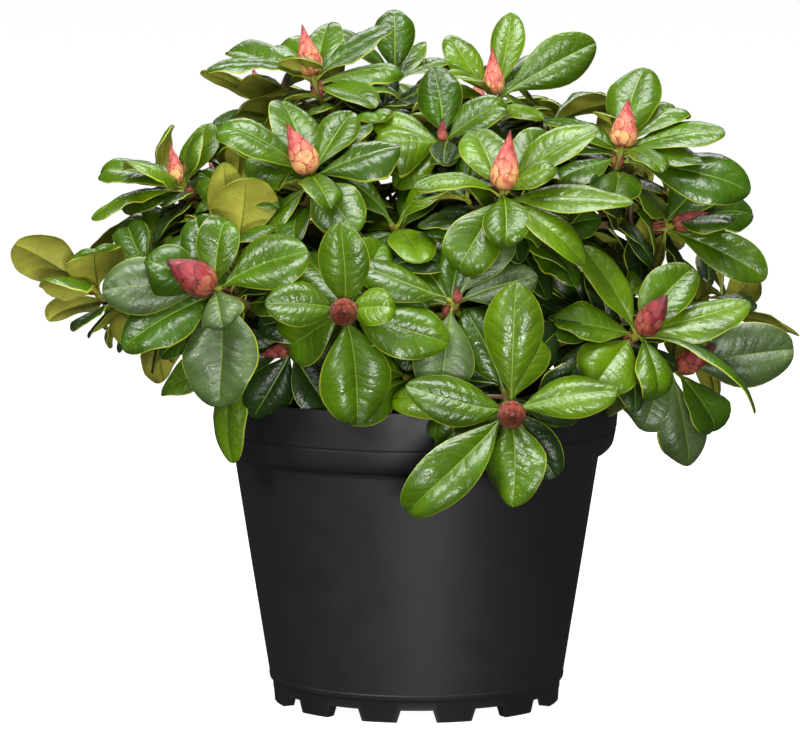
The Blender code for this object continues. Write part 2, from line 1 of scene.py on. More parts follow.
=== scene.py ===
# %% [markdown]
# # A potted rhododendron
#
# This lesson dresses a young rhododendron in its black nursery pot. The solid model of the plant is
# already made and packed. Here it is loaded as a frame that must not move, and every rough solid is
# replaced by a finer piece in the same place: leaves with ribs and rolled edges, buds with scales,
# bark, loose compost and a turned pot. All lengths are in metres, +Z is up and the front is -Y.

import math
import random
from collections import namedtuple

import bmesh
import bpy
import numpy as np
from mathutils import Matrix, Vector, noise
from mathutils.bvhtree import BVHTree
from mathutils.geometry import interpolate_bezier


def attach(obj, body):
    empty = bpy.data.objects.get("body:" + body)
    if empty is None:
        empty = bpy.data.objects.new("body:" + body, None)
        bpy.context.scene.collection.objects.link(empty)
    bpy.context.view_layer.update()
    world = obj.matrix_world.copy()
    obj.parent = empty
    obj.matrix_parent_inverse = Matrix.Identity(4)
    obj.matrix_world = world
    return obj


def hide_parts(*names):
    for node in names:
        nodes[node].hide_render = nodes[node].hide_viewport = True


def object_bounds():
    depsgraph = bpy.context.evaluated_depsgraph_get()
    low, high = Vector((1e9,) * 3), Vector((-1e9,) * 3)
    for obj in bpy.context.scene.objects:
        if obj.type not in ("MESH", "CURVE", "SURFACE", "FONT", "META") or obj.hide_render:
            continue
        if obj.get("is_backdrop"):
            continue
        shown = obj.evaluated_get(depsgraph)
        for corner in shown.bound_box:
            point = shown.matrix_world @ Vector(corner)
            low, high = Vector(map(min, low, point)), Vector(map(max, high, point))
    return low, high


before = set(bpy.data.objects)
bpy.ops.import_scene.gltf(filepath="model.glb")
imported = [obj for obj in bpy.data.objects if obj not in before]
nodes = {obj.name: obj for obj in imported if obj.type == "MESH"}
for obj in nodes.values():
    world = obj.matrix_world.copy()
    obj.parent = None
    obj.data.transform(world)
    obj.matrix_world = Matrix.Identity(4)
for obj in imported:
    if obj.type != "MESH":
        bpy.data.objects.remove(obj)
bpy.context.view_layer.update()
MM = 0.001

# %% [markdown]
# ## How the plant grows
#
# A rhododendron's leaves stand in whorls, a rosette of six to nine at the end of each twig, and next
# year's flower or shoot waits in a winter bud in the middle. So the plant can be written down as a
# table of shoots. Each row holds the mass it belongs to, the middle of its whorl in millimetres, the
# way the whorl faces, its bud, the way it grows, and its leaves. The leaves that show from the front
# are told one by one, as the eye sees them: the angle on a clock face, counted from the right and
# anticlockwise, how far the leaf leans towards the eye, its length and its width. Some also have a droop
# of their own, and how far their top is turned from the sky, 0, to the eye, 1.
# This is the same table that the solid model grows from, so each fine leaf lands on its solid.

# %% The table of masses and shoots
Leaf = namedtuple("Leaf", "root along up length width droop")
Shoot = namedtuple("Shoot", "mass centre faces bud grows leaves")

# The point where a mass's twigs part, and where its bough leaves the trunk: height and radius.
MASSES = {
    "front": ((-18, -52, 226), 31, 5.0),
    "front_low": ((34, -68, 200), 13, 5.0),
    "left": ((-78, -56, 222), 12, 5.2),
    "far_left": ((-116, -12, 228), 24, 4.8),
    "upper_left": ((-66, -26, 262), 36, 4.6),
    "top_left": ((-36, 24, 304), 45, 4.0),
    "top_right": ((30, 6, 296), 53, 4.2),
    "upper_front": ((38, -46, 262), 46, 4.2),
    "upper_right": ((80, -8, 266), 39, 4.6),
    "right": ((76, -42, 212), 26, 5.0),
    "back_right": ((84, 62, 236), 15, 5.2),
    "back": ((2, 86, 250), 30, 5.0),
    "back_left": ((-78, 66, 238), 14, 5.2),
}
FRONT_SHOOTS = (
    Shoot("top_left", (-59, 0, 357), (-0.05, -0.35, 1), (30, 15), (-0.2, -0.05, 1), (
        (125, 60, 32, 26), (173, 15, 66, 30), (34, -20, 58, 26), (78, -45, 50, 24), (161, -25, 62, 26),
        (11, 0, 56, 25), (137, -50, 58, 26), (-12, 40, 48, 24), (215, -20, 46, 24))),
    Shoot("top_left", (-11, 45, 354), (0, -0.2, 1), None, (0.05, -0.1, 1), (
        (91, -12, 46, 24), (139, -5, 48, 22), (-45, 50, 44, 24), (20, -35, 50, 24), (60, -55, 50, 24),
        (190, -40, 52, 24))),
    Shoot("top_right", (44, 5, 346), (0, -0.3, 1), (27, 13), (-0.05, -0.05, 1), (
        (150, 40, 40, 22), (78, -22, 56, 20, 20, 0.6), (122, 5, 50, 20, 20, 0.8), (30, -3, 70, 29, 24, 0.75),
        (39, -35, 56, 24),
        (153, 12, 52, 21, 75), (-8, 35, 38, 20), (205, -40, 50, 24))),
    Shoot("upper_right", (115, -40, 320), (0.05, -0.45, 1), (28, 16), (0.12, -0.1, 1), (
        (-25, 50, 40, 22), (72, -28, 55, 31), (48, -18, 57, 28), (155, -10, 49, 25), (12, 0, 63, 27),
        (3, 17, 50, 22), (168, -32, 46, 24), (196, 25, 46, 26), (-12, 5, 80, 36, 30, 0.45))),
    Shoot("upper_left", (-59, -80, 309), (-0.05, -0.6, 0.85), (32, 17), (-0.42, -0.2, 0.9), (
        (-52, 55, 38, 26), (112, -35, 55, 29), (148, 5, 63, 31), (57, -25, 51, 23), (27, 3, 56, 29),
        (-48, 33, 47, 31), (162, -40, 52, 26), (225, -15, 46, 26))),
    Shoot("upper_front", (47, -100, 301), (0.05, -0.6, 0.85), (34, 17), (0.12, -0.15, 1), (
        (28, 22, 38, 20), (272, 45, 42, 26), (115, -35, 47, 28), (35, -5, 67, 27), (237, 25, 56, 31, 30, 0.8),
        (52, -35, 56, 27), (172, 10, 56, 20, 80, 0), (-30, 25, 64, 32, 55), (-5, 6, 76, 31))),
    Shoot("top_right", (14, -45, 324), (0, -0.6, 0.85), (13, 6), (0.05, -0.1, 1), (
        (98, -15, 44, 26), (33, 0, 47, 25), (178, 20, 48, 31), (150, -5, 46, 25), (215, 15, 40, 24),
        (15, -32, 42, 22))),
    Shoot("left", (-112, -115, 248), (-0.3, -0.85, 0.45), (33, 20), (-0.75, -0.4, 0.52), (
        (-75, 50, 34, 26), (82, -8, 46, 24), (23, 5, 58, 36), (153, 18, 50, 29), (110, -12, 51, 27),
        (178, 8, 68, 33), (208, 10, 66, 33), (268, 12, 66, 43))),
    Shoot("left", (-101, -70, 262), (0.1, 0.7, 0.7), None, (0.1, -0.1, 1), (
        (82, 20, 52, 38), (99, 5, 58, 22), (40, -25, 46, 26), (140, -35, 50, 26))),
    Shoot("front", (-40, -125, 236), (0, -0.95, 0.3), (27, 16), (0, -1, 0.1), (
        (8, 25, 35, 22), (93, 10, 53, 28), (173, 15, 48, 27), (276, 5, 65, 39), (-17, 3, 62, 33),
        (60, -30, 50, 30), (215, -25, 52, 31), (130, -35, 48, 28))),
    Shoot("front", (22, -115, 241), (0, -0.8, 0.6), (10, 6), (0, -0.4, 1), (
        (50, -10, 52, 23), (158, 0, 63, 26), (22, 5, 51, 26), (262, 10, 55, 34), (168, -16, 55, 31),
        (140, -22, 48, 29), (75, -30, 50, 26), (-30, -25, 50, 28))),
    Shoot("front_low", (51, -141, 182), (0, -0.97, 0.25), (27, 16), (0, -1, 0.08), (
        (88, 2, 75, 33), (165, 5, 62, 28), (12, 6, 62, 26), (271, 18, 56, 35), (222, 21, 88, 30),
        (176, -14, 70, 27), (200, -16, 50, 28), (72, -28, 54, 28))),
    Shoot("right", (124, -90, 221), (0.35, -0.75, 0.6), (30, 16), (0.45, -0.45, 0.75), (
        (-72, 30, 48, 26), (48, -20, 52, 28, 30, 0.7), (122, -5, 60, 30), (22, 0, 70, 31, 20, 0.6),
        (168, 12, 50, 25, 40), (228, 42, 44, 36, 30, 0.9), (-8, 6, 90, 24, 80, 0))),
    Shoot("right", (146, -60, 197), (0.4, -0.65, 0.6), (28, 14), (0.75, -0.35, 0.5), (
        (8, -6, 70, 36, 24, 0.7), (-54, 10, 50, 29), (-78, 5, 60, 30), (250, 25, 42, 34), (205, 0, 46, 26))),
    Shoot("upper_right", (146, -8, 272), (0.35, -0.4, 0.85), (22, 11), (0.85, -0.15, 0.35), (
        (8, 34, 42, 25), (130, 30, 44, 26), (250, -24, 48, 25), (20, -10, 58, 30), (44, -22, 56, 28),
        (-25, 4, 70, 28, 25, 0.5))),
    Shoot("upper_left", (-135, 0, 296), (-0.2, -0.5, 0.85), (24, 10), (-0.2, -0.1, 1), (
        (152, 42, 46, 33), (70, 28, 40, 27), (75, -22, 45, 28), (157, -5, 58, 26, 50),
        (182, 5, 60, 25, 50, 0), (168, -32, 48, 22), (192, -22, 46, 21))),
    Shoot("far_left", (-180, -45, 238), (-0.3, 0.6, 0.75), (22, 9), (-0.5, 0.1, 0.85), (
        (92, 38, 44, 34), (152, 18, 60, 35), (158, 38, 46, 28), (200, -30, 46, 26))),
    Shoot("far_left", (-152, -12, 246), (-0.1, -0.5, 0.8), None, (-0.4, 0, 1), (
        (98, -22, 54, 32), (60, -20, 50, 28), (160, -40, 54, 28), (215, -20, 50, 28))),
    Shoot("front", (-71, -85, 211), (0, -0.8, 0.4), (20, 9), (-0.7, -0.5, -0.1), (
        (-57, 5, 47, 27), (240, 0, 50, 27), (195, -12, 52, 24), (120, -15, 46, 26))),
    Shoot("right", (100, -44, 224), (0, -0.7, 0.6), None, (0.4, -0.3, 0.7), (
        (117, 2, 58, 25), (-75, 3, 50, 29), (150, 5, 50, 27), (215, -5, 52, 28), (-35, -25, 50, 28))),
)
OTHER_SHOOTS = (
    ("top_left", (-86, 60, 334), (26, 14)),
    ("top_right", (78, 48, 326), None),
    ("upper_left", (-94, -38, 282), None),
    ("upper_front", (-14, -62, 276), None),
    ("upper_front", (66, -62, 268), None),
    ("left", (-106, -70, 200), None),
    ("right", (128, -8, 240), None),
    ("front_low", (-6, -98, 196), None),
    ("upper_right", (148, 48, 286), (28, 14)),
    ("upper_right", (66, 20, 284), None),
    ("top_left", (-50, 44, 300), None),
    ("back_right", (180, 88, 210), (26, 13)),
    ("back_right", (112, 100, 262), (30, 15)),
    ("back_right", (96, 118, 204), None),
    ("back_right", (104, 88, 308), (28, 14)),
    ("back", (30, 131, 232), (28, 15)),
    ("back", (-28, 124, 290), (32, 16)),
    ("back", (34, 100, 326), (26, 14)),
    ("back", (-38, 128, 196), None),
    ("back", (20, 84, 278), None),
    ("back_left", (-98, 110, 216), (28, 14)),
    ("back_left", (-108, 84, 284), (30, 15)),
    ("back_left", (-152, 58, 218), (26, 13)),
    ("back_left", (-148, 40, 282), None),
    ("back_left", (-46, 82, 336), (26, 13)),
    ("back_left", (-62, 98, 244), None),
    ("upper_left", (-92, 22, 300), None),
    ("top_left", (-26, 4, 326), None),
    ("upper_right", (108, 26, 302), None),
    ("upper_left", (-60, -30, 292), None),
)
print(len(FRONT_SHOOTS), "shoots seen from the front and", len(OTHER_SHOOTS), "inside and behind")

# %% [markdown]
# The shoots inside the crown and round its back aren't told leaf by leaf. Their leaves come from a
# rule: each stands 137.5 degrees round from the last, the golden angle that many plants use, from the
# young upright leaves by the bud to the old ones that spread out below. The chance in the rule has a
# fixed seed, so the plant is the same on every run.

# %% The rule for the other leaves
LEAVES_BY_RULE = 7
RULE_LENGTHS = (50, 64)
RULE_WIDTH = 0.47
RULE_RISE = (38, -14)
LEAF_DROOP = 30
GOLDEN_ANGLE = 137.5
CROWN_MIDDLE = Vector((0, 8, 190)) * MM
SEED = 11


def across_eye(clock, towards):
    """The way a leaf points: an angle in the picture seen from the front, and a lean to the eye."""
    clock, towards = math.radians(clock), math.radians(towards)
    return Vector((
        math.cos(towards) * math.cos(clock), -math.sin(towards), math.cos(towards) * math.sin(clock)))


def leaves_by_rule(faces, rng):
    first = faces.orthogonal().normalized()
    second = faces.cross(first)
    turn = rng.uniform(0, 360)
    for index in range(LEAVES_BY_RULE):
        part = index / (LEAVES_BY_RULE - 1)
        angle = math.radians(turn + GOLDEN_ANGLE * index + rng.uniform(-9, 9))
        rise = math.radians(RULE_RISE[0] + (RULE_RISE[1] - RULE_RISE[0]) * part + rng.uniform(-7, 7))
        along = (first * math.cos(angle) + second * math.sin(angle)) * math.cos(rise) + faces * math.sin(rise)
        length = rng.uniform(*RULE_LENGTHS) * (0.86 + 0.14 * part)
        yield along, length, length * RULE_WIDTH * rng.uniform(0.9, 1.12), rng.uniform(20, 44), faces


def told_leaf(faces, clock, towards, length, width, droop=LEAF_DROOP, to_eye=None):
    """A leaf told as the eye sees it: its way, length, width, droop and the way its top faces."""
    if to_eye is not None:
        faces = Vector((0, -to_eye, 1 - to_eye)).normalized()
    return across_eye(clock, towards), length, width, droop, faces


def all_shoots():
    rng = random.Random(SEED)
    for mass, centre, faces, bud, grows, leaves in FRONT_SHOOTS:
        faces = Vector(faces).normalized()
        told = [told_leaf(faces, *leaf) for leaf in leaves]
        yield Shoot(mass, Vector(centre) * MM, faces, bud, Vector(grows).normalized(), told)
    for mass, centre, bud in OTHER_SHOOTS:
        centre = Vector(centre) * MM
        out = (centre - CROWN_MIDDLE).normalized()
        grows = (out + Vector((0, 0, 0.45))).normalized()
        yield Shoot(mass, centre, grows, bud, grows, list(leaves_by_rule(grows, rng)))


shoots = list(all_shoots())
print(sum(len(shoot.leaves) for shoot in shoots), "leaves asked for")

# %% [markdown]
# ## Limbs
#
# Trunk, boughs and twigs are all one kind of shape: a ring carried along a curved path while it gets
# thinner. In Blender this could be a curve with a bevel, but a ring that is extruded step by step gives
# an even mesh, and full control of its two ends. Each step extrudes the end face, moves it with one
# matrix, and deletes the face that is left inside.

# %% Paths and swept limbs
TRUNK_FOOT = Vector((0, 6, 173.3)) * MM
TRUNK_LEAN = Vector((-0.05, 0.04, 1))
TRUNK_RINGS = ((0, 15), (6, 11.5), (16, 9.8), (34, 8.8), (54, 7.6))
BOUGH_TIP_RADIUS = 2.8 * MM
STEM_LENGTH = 12 * MM
CLEARANCE = 0.3 * MM
TWIG_RADIUS = 2.3 * MM
TWIG_POINTS = 5
TWIG_STAGGER = 0.11 * MM


def swept(points, radii, sides, leaves=None, arrives=None):
    ways = [(after - before).normalized() for before, after in zip(points, points[1:])]
    between = [(a + b).normalized() for a, b in zip(ways, ways[1:])]
    ways = [leaves or ways[0], *between, arrives or ways[-1]]
    turn = ways[0].to_track_quat("Z", "X")
    places = []
    for index, (point, radius) in enumerate(zip(points, radii)):
        if index:
            turn = ways[index - 1].rotation_difference(ways[index]) @ turn
        places.append(Matrix.LocRotScale(point, turn, Vector((radius, radius, radius))))
    bm = bmesh.new()
    bmesh.ops.create_circle(bm, cap_ends=True, segments=sides, radius=1, matrix=places[0])
    end = bm.faces[:]
    for before, after in zip(places, places[1:]):
        made = bmesh.ops.extrude_face_region(bm, geom=end)["geom"]
        if before is not places[0]:
            bmesh.ops.delete(bm, geom=[face for face in end if face.is_valid], context="FACES_ONLY")
        moved = [part for part in made if isinstance(part, bmesh.types.BMVert)]
        bmesh.ops.transform(bm, matrix=after @ before.inverted(), verts=moved)
        end = [part for part in made if isinstance(part, bmesh.types.BMFace)]
    bm.normal_update()
    bmesh.ops.recalc_face_normals(bm, faces=bm.faces)
    return bm


def path(start, start_way, finish, finish_way, count):
    reach = (finish - start).length
    return interpolate_bezier(
        start, start + start_way.normalized() * reach * 0.38,
        finish - finish_way.normalized() * reach * 0.34, finish, count,
    )


def tapered(first, last, count):
    return [first + (last - first) * step / (count - 1) for step in range(count)]


def trunk_point(height):
    return TRUNK_FOOT + TRUNK_LEAN * height * MM


def mass_frame(name):
    hub, height, _ = MASSES[name]
    hub = Vector(hub) * MM
    way = hub - trunk_point(height)
    return hub, (way.normalized() + Vector((0, 0, 0.35))).normalized()


def twig_path(index, shoot, count):
    hub, way = mass_frame(shoot.mass)
    start = hub - way * (2 * MM + index * TWIG_STAGGER)
    return path(start, way, shoot.centre + shoot.grows * 2 * MM, shoot.grows, count)


twig_paths = [twig_path(index, shoot, TWIG_POINTS) for index, shoot in enumerate(shoots)]
print("longest twig", round(max((points[0] - points[-1]).length for points in twig_paths) / MM), "mm")

# %% [markdown]
# ## Room for every leaf
#
# On the living plant no leaf passes through another. The same plain test keeps them apart here. Each
# leaf is first a coarse solid of three meridians, tried against everything that already stands. If it
# touches, it is lifted or turned about its root in small steps, and if nothing helps it is left out.
# The coarse solids are only for this test; the fine leaves take their places afterwards.

# %% Coarse leaves for the test
LEAF_RINGS = ((0.13, 0.10), (0.50, 1.0), (0.84, 0.66))
PLAIN_LEAF_RINGS = ((0.15, 0.12), (0.60, 1.0))
PLAIN_FROM = 0.33
LEAF_THICKNESS = 0.7 * MM
LEAF_EDGE_DROP = 0.10
STALK_RADIUS = 1.2 * MM
ROOT_DEPTH = 2 * MM
WHORL_DEPTH = 11 * MM
OLD_ORDER = 20
LOWEST_LEAF = 60 * MM
SIDE_REACH = 234 * MM
NUDGES = ((0, 0), (7, 0), (-7, 0), (0, 8), (0, -8), (14, 0), (-14, 0), (10, 14), (10, -14), (22, 0), (-22, 0))


def back_from_end(points, distance):
    for after, before in zip(points[::-1], points[-2::-1]):
        step = (after - before).length
        if distance <= step:
            return after.lerp(before, distance / step)
        distance -= step
    return points[0]


def leaf_at(twig_points, back, told):
    along, length, width, droop, faces = told
    root = back_from_end(twig_points, back) - along * ROOT_DEPTH
    up = (faces - along * faces.dot(along)).normalized()
    return Leaf(root, along, up, length * MM, width * MM, math.radians(droop))


def spine(leaf, part):
    first = leaf.droop / 2
    angle = first - leaf.droop * part
    ahead = (math.sin(first) - math.sin(angle)) / leaf.droop * leaf.length
    rise = (math.cos(angle) - math.cos(first)) / leaf.droop * leaf.length
    return leaf.root + leaf.along * ahead + leaf.up * rise, leaf.up * math.cos(angle) - leaf.along * math.sin(angle)


def coarse_leaf(leaf, rings):
    bm = bmesh.new()
    rings = ((0, 0), *rings, (1, 0))
    bmesh.ops.create_uvsphere(bm, u_segments=3, v_segments=len(rings) - 1, radius=1)
    for vert in bm.verts:
        ring = round(math.acos(max(-1, min(1, vert.co.z))) / math.pi * (len(rings) - 1))
        part, wide = rings[ring]
        point, up = spine(leaf, part)
        if wide:
            edge = round(vert.co.x / math.hypot(vert.co.x, vert.co.y) / math.sin(math.radians(60)))
            half = max(wide * leaf.width / 2, STALK_RADIUS)
            thick = STALK_RADIUS if wide < 0.2 else LEAF_THICKNESS / 2
            drop = LEAF_EDGE_DROP * half if wide > 0.2 else 0
            side = leaf.along.cross(leaf.up)
            point = point + (side * half * edge - up * (thick + drop) if edge else up * thick)
        vert.co = point
    return bm


def coarse_bud(centre, grows, length, width):
    bm = bmesh.new()
    bmesh.ops.create_uvsphere(bm, u_segments=4, v_segments=4, radius=1)
    for vert in bm.verts:
        part = (vert.co.z + 1) / 2
        slim = (1 - 0.35 * part) * 1.12 * width * MM / 2
        vert.co = (vert.co.x * slim, vert.co.y * slim, part * length * MM - 1 * MM)
    place = Matrix.LocRotScale(centre, grows.to_track_quat("Z", "X"), None)
    bmesh.ops.transform(bm, matrix=place, verts=bm.verts)
    return bm


# %% The crown's search trees
def tree_of(bm, but_root=None):
    bm.verts.index_update()
    points = [vert.co.copy() for vert in bm.verts]
    faces = [[vert.index for vert in face.verts] for face in bm.faces]
    if but_root:
        root = min(range(len(points)), key=lambda index: (points[index] - but_root).length)
        faces = [face for face in faces if root not in face]
    return BVHTree.FromPolygons(points, faces)


def node_tree(obj):
    mesh = obj.data
    return BVHTree.FromPolygons([vert.co for vert in mesh.vertices], [face.vertices for face in mesh.polygons])


class Crown:
    def __init__(self, limbs):
        self.limbs = limbs
        self.grown = []

    def stand(self, shoot, middle, reach, bm):
        self.grown.append({"shoot": shoot, "middle": middle, "reach": reach, "whole": tree_of(bm), "blade": None})
        bm.free()

    def takes(self, shoot, leaf, rings):
        bm = coarse_leaf(leaf, rings)
        whole, blade = tree_of(bm), tree_of(bm, leaf.root)
        reached = [vert.co.copy() for vert in bm.verts]
        bm.free()
        if any(point.z < LOWEST_LEAF or abs(point.x) > SIDE_REACH for point in reached):
            return False
        if any(tree.overlap(whole) for tree in self.limbs):
            return False
        middle = spine(leaf, 0.5)[0]
        for other in self.grown:
            if (other["middle"] - middle).length > (other["reach"] + leaf.length) * 0.6:
                continue
            if other["shoot"] != shoot:
                hit = other["whole"].overlap(whole)
            else:
                hit = other["blade"] and other["blade"].overlap(blade)
            if hit:
                return False
        self.grown.append({"shoot": shoot, "middle": middle, "reach": leaf.length, "whole": whole, "blade": blade})
        return True


def nudged(leaf, pitch, turn):
    side = leaf.along.cross(leaf.up)
    spin = Matrix.Rotation(math.radians(turn), 3, leaf.up) @ Matrix.Rotation(math.radians(-pitch), 3, side)
    return leaf._replace(along=spin @ leaf.along, up=spin @ leaf.up)


def grown_leaf(crown, index, told, rings):
    for pitch, turn in NUDGES:
        leaf = nudged(told, pitch, turn)
        if crown.takes(index, leaf, rings):
            return leaf
    return None


# %% Give every leaf its place
stems = {}
for name in MASSES:
    hub, way = mass_frame(name)
    stems[name] = swept([hub - way * STEM_LENGTH, hub + way * 3 * MM], [BOUGH_TIP_RADIUS * 0.9] * 2, 3)
limb_names = [name for name in nodes if not name.startswith("foliage_")]
crown = Crown([*(node_tree(nodes[name]) for name in limb_names), *(tree_of(bm) for bm in stems.values())])
for index, (shoot, points) in enumerate(zip(shoots, twig_paths)):
    twig = swept(points, tapered(TWIG_RADIUS * 1.15, TWIG_RADIUS * 0.9, TWIG_POINTS), 3)
    crown.stand(index, (points[0] + points[-1]) / 2, (points[0] - points[-1]).length + 30 * MM, twig)
    if shoot.bud:
        crown.stand(index, shoot.centre, 40 * MM, coarse_bud(shoot.centre, shoot.grows, *shoot.bud))
placed = []
for index, shoot in enumerate(shoots):
    for order, told in enumerate(shoot.leaves):
        shows = index < len(FRONT_SHOOTS) and told[0].y < PLAIN_FROM
        rings = LEAF_RINGS if shows else PLAIN_LEAF_RINGS
        back = (0.3 + 0.8 * order / len(shoot.leaves)) * WHORL_DEPTH
        leaf = grown_leaf(crown, index, leaf_at(twig_paths[index], back, told), rings)
        if leaf:
            placed.append((index, order, leaf))
print(len(placed), "leaves have room")

# %% [markdown]
# Behind each whorl a real shoot keeps a few of last year's leaves, darker and lower on the twig, and
# from its side spring finer twigs with small whorls of their own. They fill the crown's inside. They
# follow the same rule and the same test, but start further back.

# %% Older leaves and side twigs inside the crown
OLD_LEAVES = 8
OLD_FROM, OLD_STEP = 15 * MM, 3.6 * MM
OLD_LENGTHS = (38, 58)
SIDE_TWIGS = 2
SIDE_LEAVES = 5
SIDE_LENGTHS = (32, 48)
SIDE_POINTS = 4
SIDE_PAST = 6 * MM


def ring_of_leaves(grows, count, rise_range, lengths, rng):
    first = grows.orthogonal().normalized()
    second = grows.cross(first)
    turn = rng.uniform(0, 360)
    for order in range(count):
        angle = math.radians(turn + GOLDEN_ANGLE * order + rng.uniform(-12, 12))
        rise = math.radians(rng.uniform(*rise_range))
        out = (first * math.cos(angle) + second * math.sin(angle)) * math.cos(rise) + grows * math.sin(rise)
        length = rng.uniform(*lengths)
        yield out, length, length * RULE_WIDTH * rng.uniform(0.9, 1.1), rng.uniform(18, 44), grows


old_rng = random.Random(SEED + 1)
young_count = len(placed)
for index, shoot in enumerate(shoots):
    ring = ring_of_leaves(shoot.grows, OLD_LEAVES, (-22, 12), OLD_LENGTHS, old_rng)
    for order, told in enumerate(ring):
        old = leaf_at(twig_paths[index], OLD_FROM + OLD_STEP * order, told)
        leaf = grown_leaf(crown, index, old, PLAIN_LEAF_RINGS)
        if leaf:
            placed.append((index, OLD_ORDER + order, leaf))
side_twigs = []
for index, shoot in enumerate(shoots):
    for step in range(SIDE_TWIGS):
        start = back_from_end(twig_paths[index], (26 + 12 * step) * MM)
        away = Vector((old_rng.uniform(-1, 1), old_rng.uniform(-1, 1), old_rng.uniform(-0.3, 1))).normalized()
        away = (away - shoot.grows * away.dot(shoot.grows) * 0.8).normalized()
        end = start + (away + shoot.grows * 0.5).normalized() * old_rng.uniform(20, 30) * MM
        ends_way = (away + shoot.grows + Vector((0, 0, 0.5))).normalized()
        points = path(start, away, end, ends_way, SIDE_POINTS)
        kept = []
        for told in ring_of_leaves(ends_way, SIDE_LEAVES, (-10, 45), SIDE_LENGTHS, old_rng):
            side = leaf_at(points, 1.5 * MM * len(kept), told)
            tip = spine(side, 1)[0]
            if (tip - CROWN_MIDDLE).length > (shoot.centre - CROWN_MIDDLE).length + SIDE_PAST:
                continue
            leaf = grown_leaf(crown, index, side, PLAIN_LEAF_RINGS)
            if leaf:
                kept.append((index, OLD_ORDER + len(kept), leaf))
        if kept:
            placed.extend(kept)
            side_twigs.append((start, away, end, ends_way))
print(len(placed) - young_count, "older leaves and", len(side_twigs), "side twigs added")

# %% [markdown]
# ## Finishes
#
# A finish is a Principled shader with a little pattern in front of it. One helper makes the shader, and
# another adds a node and wires it, so that each finish below reads as a short recipe.

# %% Helpers for finishes
def finish(name, colour, roughness, **settings):
    made = bpy.data.materials.new(name)
    made.use_nodes = True
    shader = made.node_tree.nodes["Principled BSDF"]
    shader.inputs["Base Color"].default_value = (*colour, 1)
    shader.inputs["Roughness"].default_value = roughness
    for socket, value in settings.items():
        shader.inputs[socket.replace("_", " ")].default_value = value
    return made


class Recipe:
    """Adds nodes to a material. A value is a number, a colour or another node's output."""

    def __init__(self, made):
        self.tree = made.node_tree
        self.shader = self.tree.nodes["Principled BSDF"]

    def add(self, kind, inputs=(), output=0, **settings):
        node = self.tree.nodes.new(kind)
        for key, value in settings.items():
            setattr(node, key, value)
        for key, value in dict(inputs).items():
            self.feed(node.inputs[key], value)
        return node.outputs[output]

    def feed(self, socket, value):
        if isinstance(value, bpy.types.NodeSocket):
            self.tree.links.new(value, socket)
        else:
            socket.default_value = value

    def sum(self, operation, *values):
        return self.add("ShaderNodeMath", dict(enumerate(values)), operation=operation)

    def mapped(self, value, low, high, to_low=0.0, to_high=1.0):
        return self.add("ShaderNodeMapRange", {0: value, 1: low, 2: high, 3: to_low, 4: to_high})

    def softly(self, value, low, high, to_low=0.0, to_high=1.0):
        return self.add("ShaderNodeMapRange", {0: value, 1: low, 2: high, 3: to_low, 4: to_high},
                        interpolation_type="SMOOTHSTEP")

    def blend(self, factor, first, second):
        return self.add("ShaderNodeMix", {0: factor, 6: first, 7: second}, 2, data_type="RGBA")

    def tinted(self, factor, colour):
        """The colour made lighter or darker by a factor."""
        return self.add("ShaderNodeVectorMath", {0: colour, 3: factor}, operation="SCALE")

    def noise(self, where, scale, detail=3.0):
        return self.add("ShaderNodeTexNoise", {"Vector": where, "Scale": scale, "Detail": detail})

    def object_place(self):
        return self.add("ShaderNodeTexCoord", output=3)

    def map_place(self, name):
        place = self.add("ShaderNodeUVMap", uv_map=name)
        parts = self.tree.nodes.new("ShaderNodeSeparateXYZ")
        self.tree.links.new(place, parts.inputs[0])
        return place, parts.outputs[0], parts.outputs[1]

    def relief(self, height, distance, strength=1.0):
        bump = self.add("ShaderNodeBump", {"Height": height, "Distance": distance, "Strength": strength})
        self.feed(self.shader.inputs["Normal"], bump)


# %% [markdown]
# ## The leaf's finish
#
# The top of a rhododendron leaf is deep green and waxy. Side veins lie sunk in it like a herringbone,
# with a fine net between them, and it is that relief which breaks the broad sheen of the sky into
# small lights. The underside is dull and olive, dotted with tiny scales, and its olive is lightened as
# painted light shining through the leaf. The pattern follows the leaf, so each leaf carries a map
# named "leaf": across from 0 to 1, and along from stalk to tip.

# %% Leaf finishes
VEINS = 9.5
GREENS = {
    "mid": (0.045, 0.098, 0.001),
    "fresh": (0.068, 0.134, 0.001),
    # The deep and dark tints also serve as painted shade for leaves inside the crown.
    "deep": (0.028, 0.070, 0.001),
    "dark": (0.012, 0.030, 0.004),
    "yellow": (0.110, 0.165, 0.002),
    # This tint is partly the leaves' own grey-green and partly a painted pale sheen.
    "dusty": (0.056, 0.094, 0.024),
}
ROUGHNESS = {"dusty": (0.32, 0.48), "dark": (0.28, 0.44)}


def vein_pattern(recipe):
    """How near a point is to a side vein, 1 on it and 0 between, how swollen it is, and the leaf's map."""
    place, across, along = recipe.map_place("leaf")
    side = recipe.sum("ABSOLUTE", recipe.sum("MULTIPLY_ADD", across, 2.0, -1.0))
    bend = recipe.sum("MULTIPLY", recipe.sum("POWER", side, 1.25), 1.35)
    turn = recipe.sum("SUBTRACT", recipe.sum("MULTIPLY", along, float(VEINS)), bend)
    stray = recipe.noise(place, 3.0, 2.0)
    turn = recipe.sum("ADD", turn, recipe.sum("MULTIPLY", stray, 1.0))
    near = recipe.sum("PINGPONG", turn, 0.5)
    line = recipe.softly(near, 0.0, 0.13, 1.0, 0.0)
    fades = recipe.softly(side, 0.70, 0.98, 1.0, 0.0)
    swollen = recipe.sum("MULTIPLY", recipe.softly(near, 0.0, 0.36), fades)
    return recipe.sum("MULTIPLY", line, fades), swollen, place


